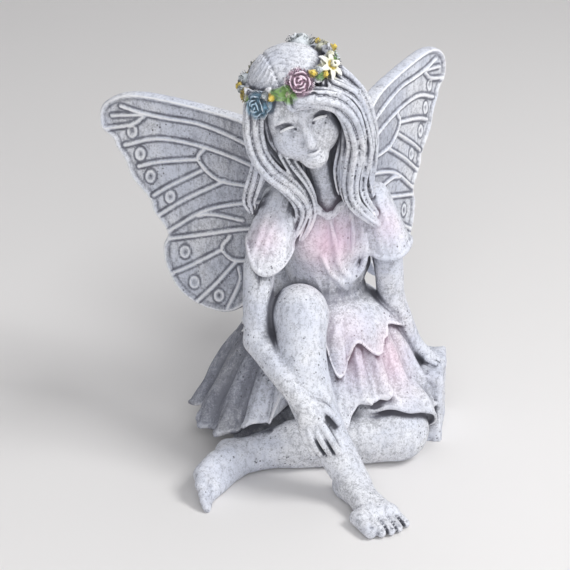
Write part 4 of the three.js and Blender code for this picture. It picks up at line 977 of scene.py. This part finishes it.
def wing_marks(drawn):
    """Dark ground between the veins, darker toward the root, the lines beside them, which are painted shade,
    and the worn tops of veins and rims.
    """
    ground, crest, lines = np.zeros((3, len(drawn)))
    for root, bearing, lift in WINGS:
        u, n, v = on_wing(drawn, root, bearing, lift)
        edge, vein, ring = (look_up(table, u, v) for table in (edge_map, vein_map, ring_map))
        on = (np.abs(n) < 3.8) & (edge < 0.4) & (u > 2)
        beside = np.maximum(bell(vein, 1.05, 0.45), 0.6 * bell(edge, -2.2, 0.55))
        beside = np.maximum(beside, bell(ring, 1.6, 0.26)) * (vein > 0.5)
        along, across = 0.5 * u + 2 * np.sin(0.31 * v), 0.43 * v + 1.7 * np.sin(0.23 * u)
        uneven = 0.72 + 0.28 * np.sin(along) * np.sin(across)
        lines = np.maximum(lines, on * uneven * np.maximum(beside, bell(ring, 0, 0.6)))
        crest = np.maximum(crest, on * clamp(1.6 - np.minimum(vein, np.abs(edge + 0.8)) / 0.3))
        crest = np.maximum(crest, 0.8 * on * bell(ring, 1.05, 0.25))
        inner = 0.05 + 0.65 * bell(u, 18, 22)
        low = np.maximum(0.9 * beside, inner)
        low = low * clamp(vein / 0.5 - 0.9) * clamp(-(edge + 1.4) / 0.6)
        ground = np.where(on, np.maximum(ground, low), ground)
    return ground, crest, lines


def flower_paint(drawn):
    """Colour, and how much of it, on the flowers and the green leaves."""
    paint = np.zeros((len(drawn), 4))
    for centre, way, size, colour, kind in flowers:
        q = drawn - centre
        r = np.linalg.norm(q, axis=1)
        amount = clamp((size * 1.02 - r) / (size * 0.25))
        amount = amount * clamp(1.2 - 0.55 * (q @ -way) / size) * np.clip(1.25 - r / size, 0.25, 1)
        m = amount > paint[:, 3]
        paint[m, :3] = colour
        if kind == "lily":
            paint[m & (r < size * 0.45), :3] = YELLOW
        paint[m, 3] = amount[m]
    for start, end in leaf_spots:
        mid = (start + end) / 2
        size = np.linalg.norm(end - start) * 0.62
        amount = clamp((size - np.linalg.norm(drawn - mid, axis=1)) / (size * 0.4)) * 0.8
        m = amount > paint[:, 3] + 0.15
        paint[m, :3] = GREEN
        paint[m, 3] = amount[m]
    return paint


def mask(mesh):
    count = len(mesh.vertices)
    co, no = read(mesh.vertices, "co", 3), read(mesh.vertices, "normal", 3)
    drawn = np.stack([co[:, 0] * 1000 / U + MIDDLE[0], co[:, 1] * 1000 / U + MIDDLE[1],
                      co[:, 2] * 1000 / U], 1)
    # crease darkening from the field just outside the surface: painted shade, with the dark wash of the
    # creases
    shade = np.zeros(count)
    for reach, weight in SHELL:
        d = sample_field(drawn + no * reach)
        shade += weight * clamp((reach * 0.92 - d) / reach)
    # the face and the chest get less of the painted shade and wash than the folds round them
    calm = np.zeros(count)
    for centre, reach, weight in LESS_SHADE_AND_WASH:
        calm = np.maximum(calm, weight * bell(np.linalg.norm(drawn - centre, axis=1), 0, reach, 4))
    shade *= 1 - calm
    # broad darkening in the hollows: painted shade, with the wash
    spot = drawn + no * 1.6
    at = [np.clip((spot[:, d] - wide_axes[d][0]) / WIDE, 0, solid.shape[d] - 1.01) for d in range(3)]
    ids = [v.astype(int) for v in at]
    hollow = trilinear(solid, ids, [v - i for v, i in zip(at, ids)])
    hollow = clamp((hollow - 0.3) / 0.36) * (1 - 0.8 * calm)
    ground, crest, lines = wing_marks(drawn)
    # painted shade beside the wing veins joins the crease darkening
    shade = np.maximum(shade, 0.44 * lines)
    # painted shadow over the skirt's left side, away from the key light
    x, y, z = drawn.T
    left_skirt_shadow = 0.85 * clamp((-2 - x) / 8) * clamp((y - 7) / 6) * clamp((46 - z) / 8)
    ground = np.maximum(ground, left_skirt_shadow * (np.abs(z - 24) < 30))
    ridge = np.maximum(clamp((sample_field(drawn - no * 0.9) + 0.72) / 0.9), crest)
    blush = np.zeros(count)
    for centre, reach, weight in BLUSHES:
        d = np.linalg.norm(drawn - arr(centre), axis=1) / reach
        blush = np.maximum(blush, weight * np.exp(-d * d))
    for name, values in (("crease", shade), ("ridge", ridge), ("blush", blush), ("hollow", hollow),
                         ("ground", ground)):
        write(mesh, name, "FLOAT", "value", values)
    write(mesh, "paint", "FLOAT_COLOR", "color", flower_paint(drawn))


# Weathered resin: pale whitewash over dark grey, pits and creases left dark, and painted shade in creases and
# hollows
def weathered_and_shaded():
    mat = bpy.data.materials.new("weathered_resin")
    mat.use_nodes = True
    tree = mat.node_tree
    nodes, links = tree.nodes, tree.links
    bsdf = nodes["Principled BSDF"]
    coords = nodes.new("ShaderNodeTexCoord")

    def attribute(name):
        node = nodes.new("ShaderNodeAttribute")
        node.attribute_name = name
        return node

    def noise(scale, detail=4, rough=0.6, vector=coords.outputs["Object"]):
        node = nodes.new("ShaderNodeTexNoise")
        node.inputs["Scale"].default_value = scale
        node.inputs["Detail"].default_value = detail
        node.inputs["Roughness"].default_value = rough
        links.new(vector, node.inputs["Vector"])
        return node.outputs["Fac"]

    def ramp(value, a, b):
        node = nodes.new("ShaderNodeMapRange")
        node.inputs["From Min"].default_value = a
        node.inputs["From Max"].default_value = b
        node.interpolation_type = "SMOOTHSTEP"
        links.new(value, node.inputs["Value"])
        return node.outputs["Result"]

    def maths(op, a, b):
        node = nodes.new("ShaderNodeMath")
        node.operation = op
        node.use_clamp = True
        for i, v in enumerate((a, b)):
            if isinstance(v, (int, float)):
                node.inputs[i].default_value = v
            else:
                links.new(v, node.inputs[i])
        return node.outputs[0]

    def scaled(value, share):
        return maths("MULTIPLY", value, share)

    def total(first, *others):
        for value in others:
            first = maths("ADD", first, value)
        return first

    def blend(fac, a, b):
        node = nodes.new("ShaderNodeMix")
        node.data_type = "RGBA"
        for socket, v in ((node.inputs[0], fac), (node.inputs[6], a), (node.inputs[7], b)):
            if isinstance(v, tuple):
                socket.default_value = v
            else:
                links.new(v, socket)
        return node.outputs[2]

    crease, ridge, hollow, ground, blush = (
        attribute(name).outputs["Fac"] for name in ("crease", "ridge", "hollow", "ground", "blush"))
    paint = attribute("paint").outputs
    patches = noise(45, 5)
    speckle = noise(760, 4, 0.72)
    fine = noise(1900, 2)
    stretch = nodes.new("ShaderNodeMapping")
    stretch.inputs["Scale"].default_value = (1, 1, 0.28)
    links.new(coords.outputs["Object"], stretch.inputs["Vector"])
    strokes = noise(520, 5, 0.7, stretch.outputs["Vector"])
    pits = nodes.new("ShaderNodeTexVoronoi")
    pits.inputs["Scale"].default_value = 560
    pits.inputs["Randomness"].default_value = 1
    links.new(coords.outputs["Object"], pits.inputs["Vector"])
    pit = maths("MULTIPLY", ramp(pits.outputs["Distance"], 0.24, 0.08), ramp(noise(120, 3), 0.48, 0.62))
    # where it gets grimy and where painted shade falls in hollows and creases, and the specks, pits and lines
    # left there
    soiled_and_shaded_zone = total(scaled(hollow, 0.8), scaled(ramp(patches, 0.4, 0.7), 0.25), scaled(ground, 0.45),
                 scaled(crease, 0.9))
    soiled_and_shaded_zone = maths("SUBTRACT", soiled_and_shaded_zone, scaled(ridge, 0.5))
    wear = total(scaled(speckle, 0.55), scaled(fine, 0.45), scaled(soiled_and_shaded_zone, 0.2))
    grime_and_shade = total(scaled(ramp(wear, 0.48, 0.67), 0.5), pit)
    grime_and_shade = maths("MULTIPLY", grime_and_shade, maths("SUBTRACT", 1.0, scaled(ridge, 0.8)))
    # painted shade in the creases, with their dark wash, joins the dark specks and pits
    grime_and_shade = total(grime_and_shade, ramp(crease, 0.22, 0.62))
    # the thin grey wash over the pale coat, rubbed off the high places, with painted shade in the hollows and
    # creases and over the skirt's left side
    wash_and_shade = total(scaled(hollow, 0.42), scaled(ground, 0.8), scaled(ramp(crease, 0.05, 0.4), 0.75),
                   scaled(ramp(strokes, 0.48, 0.66), 0.4))
    wash_and_shade = maths("SUBTRACT", wash_and_shade, scaled(ridge, 0.4))
    wash_and_shade = total(wash_and_shade, scaled(ramp(noise(150, 5, 0.7), 0.48, 0.72), 0.22))
    pale = blend(ramp(patches, 0.35, 0.65), (0.66, 0.69, 0.78, 1), (0.82, 0.83, 0.87, 1))
    pale = blend(scaled(wash_and_shade, 0.9), pale, (0.22, 0.23, 0.28, 1))
    pale = blend(scaled(ramp(ridge, 0.25, 0.9), 0.75), pale, (0.92, 0.92, 0.94, 1))
    body = blend(grime_and_shade, pale, (0.11, 0.113, 0.135, 1))
    pinked = blend(scaled(blush, 0.42), body, (0.95, 0.50, 0.68, 1))
    # flower colours darkened in their creases: painted shade
    painted = blend(scaled(ramp(crease, 0.3, 0.9), 0.75), paint["Color"], (0.06, 0.06, 0.05, 1))
    colour = blend(maths("MULTIPLY", paint["Alpha"], ramp(speckle, 0.72, 0.5)), pinked, painted)
    links.new(colour, bsdf.inputs["Base Color"])
    bsdf.inputs["Roughness"].default_value = 0.72
    bsdf.inputs["Specular IOR Level"].default_value = 0.3
    bump = nodes.new("ShaderNodeBump")
    bump.inputs["Strength"].default_value = 0.5
    bump.inputs["Distance"].default_value = 0.0003
    links.new(maths("SUBTRACT", scaled(speckle, 0.7), pit), bump.inputs["Height"])
    links.new(bump.outputs["Normal"], bsdf.inputs["Normal"])
    return mat


resin = weathered_and_shaded()
for k, name in enumerate(("fairy_body", "fairy_head", "fairy_wings")):
    own = quads[part == k]
    used, faces = np.unique(own, return_inverse=True)
    mesh = bpy.data.meshes.new(name)
    mesh.from_pydata(world[used].tolist(), [], faces.reshape(-1, 4).tolist())
    write(mesh, "seam", "FLOAT", "value", shared[used])
    write(mesh, "first", "FLOAT_VECTOR", "vector", normals[used])
    piece = bpy.data.objects.new(name, mesh)
    scene.collection.objects.link(piece)
    # fewer triangles where the form is plain, none taken along the seams
    group = piece.vertex_groups.new(name="free")
    group.add(np.nonzero(~shared[used])[0].tolist(), 1.0, "REPLACE")
    if 2 * len(own) > MOST:
        bpy.context.view_layer.objects.active = piece
        reduce = piece.modifiers.new("reduce", "DECIMATE")
        reduce.ratio = MOST / (2 * len(own))
        reduce.vertex_group = group.name
        bpy.ops.object.modifier_apply(modifier=reduce.name)
    mesh = piece.data
    mesh.polygons.foreach_set("use_smooth", [True] * len(mesh.polygons))
    mask(mesh)
    # along the seams the normals of the whole surface, so that the meshes meet unseen
    first = read(mesh.attributes["first"].data, "vector", 3)
    seam = read(mesh.attributes["seam"].data, "value")
    shown = np.where(seam > 0.99, first, read(mesh.vertices, "normal", 3))
    mesh.normals_split_custom_set_from_vertices(shown.tolist())
    for label in ("first", "seam"):
        mesh.attributes.remove(mesh.attributes[label])
    piece.vertex_groups.clear()
    mesh.materials.append(resin)
    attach(piece, "root")
    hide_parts("fairy_figurine")

# Floor, lights, background
floor_mesh = bpy.data.meshes.new("floor")
size, back, rise = 1.6, 0.9, 1.6
rows = [(-size, 0.0)]
rows += [(back + 0.5 * math.sin(t), 0.5 - 0.5 * math.cos(t)) for t in np.linspace(0, math.pi / 2, 16)]
rows.append((back + 0.5, rise))
points = [(x, y, z) for y, z in rows for x in (-size, size)]
strips = [(2 * i, 2 * i + 1, 2 * i + 3, 2 * i + 2) for i in range(len(rows) - 1)]
floor_mesh.from_pydata(points, [], strips)
floor_mesh.polygons.foreach_set("use_smooth", [True] * len(floor_mesh.polygons))
floor = bpy.data.objects.new("floor", floor_mesh)
scene.collection.objects.link(floor)
floor_mat = bpy.data.materials.new("paper")
floor_mat.use_nodes = True
paper = floor_mat.node_tree.nodes["Principled BSDF"].inputs
paper["Base Color"].default_value = (0.80, 0.785, 0.775, 1)
paper["Roughness"].default_value = 0.9
floor_mesh.materials.append(floor_mat)


def area_light(name, place, aim, power, width):
    data = bpy.data.lights.new(name, "AREA")
    data.energy = power
    data.size = width
    lamp = bpy.data.objects.new(name, data)
    lamp.location = place
    lamp.rotation_euler = (Vector(aim) - Vector(place)).to_track_quat("-Z", "Y").to_euler()
    scene.collection.objects.link(lamp)


area_light("key", (0.55, -0.3, 0.75), (0, 0, 0.06), 5.2, 0.35)
area_light("fill", (0.05, -1.0, 0.6), (0, -0.1, 0.04), 5.0, 0.7)
area_light("top", (0.1, 0.4, 0.9), (0, 0, 0.06), 1.4, 0.7)
world_data = bpy.data.worlds.new("studio")
world_data.use_nodes = True
background = world_data.node_tree.nodes["Background"].inputs
background["Color"].default_value = (0.95, 0.96, 1, 1)
background["Strength"].default_value = 0.32
scene.world = world_data
scene.view_settings.view_transform = "Standard"
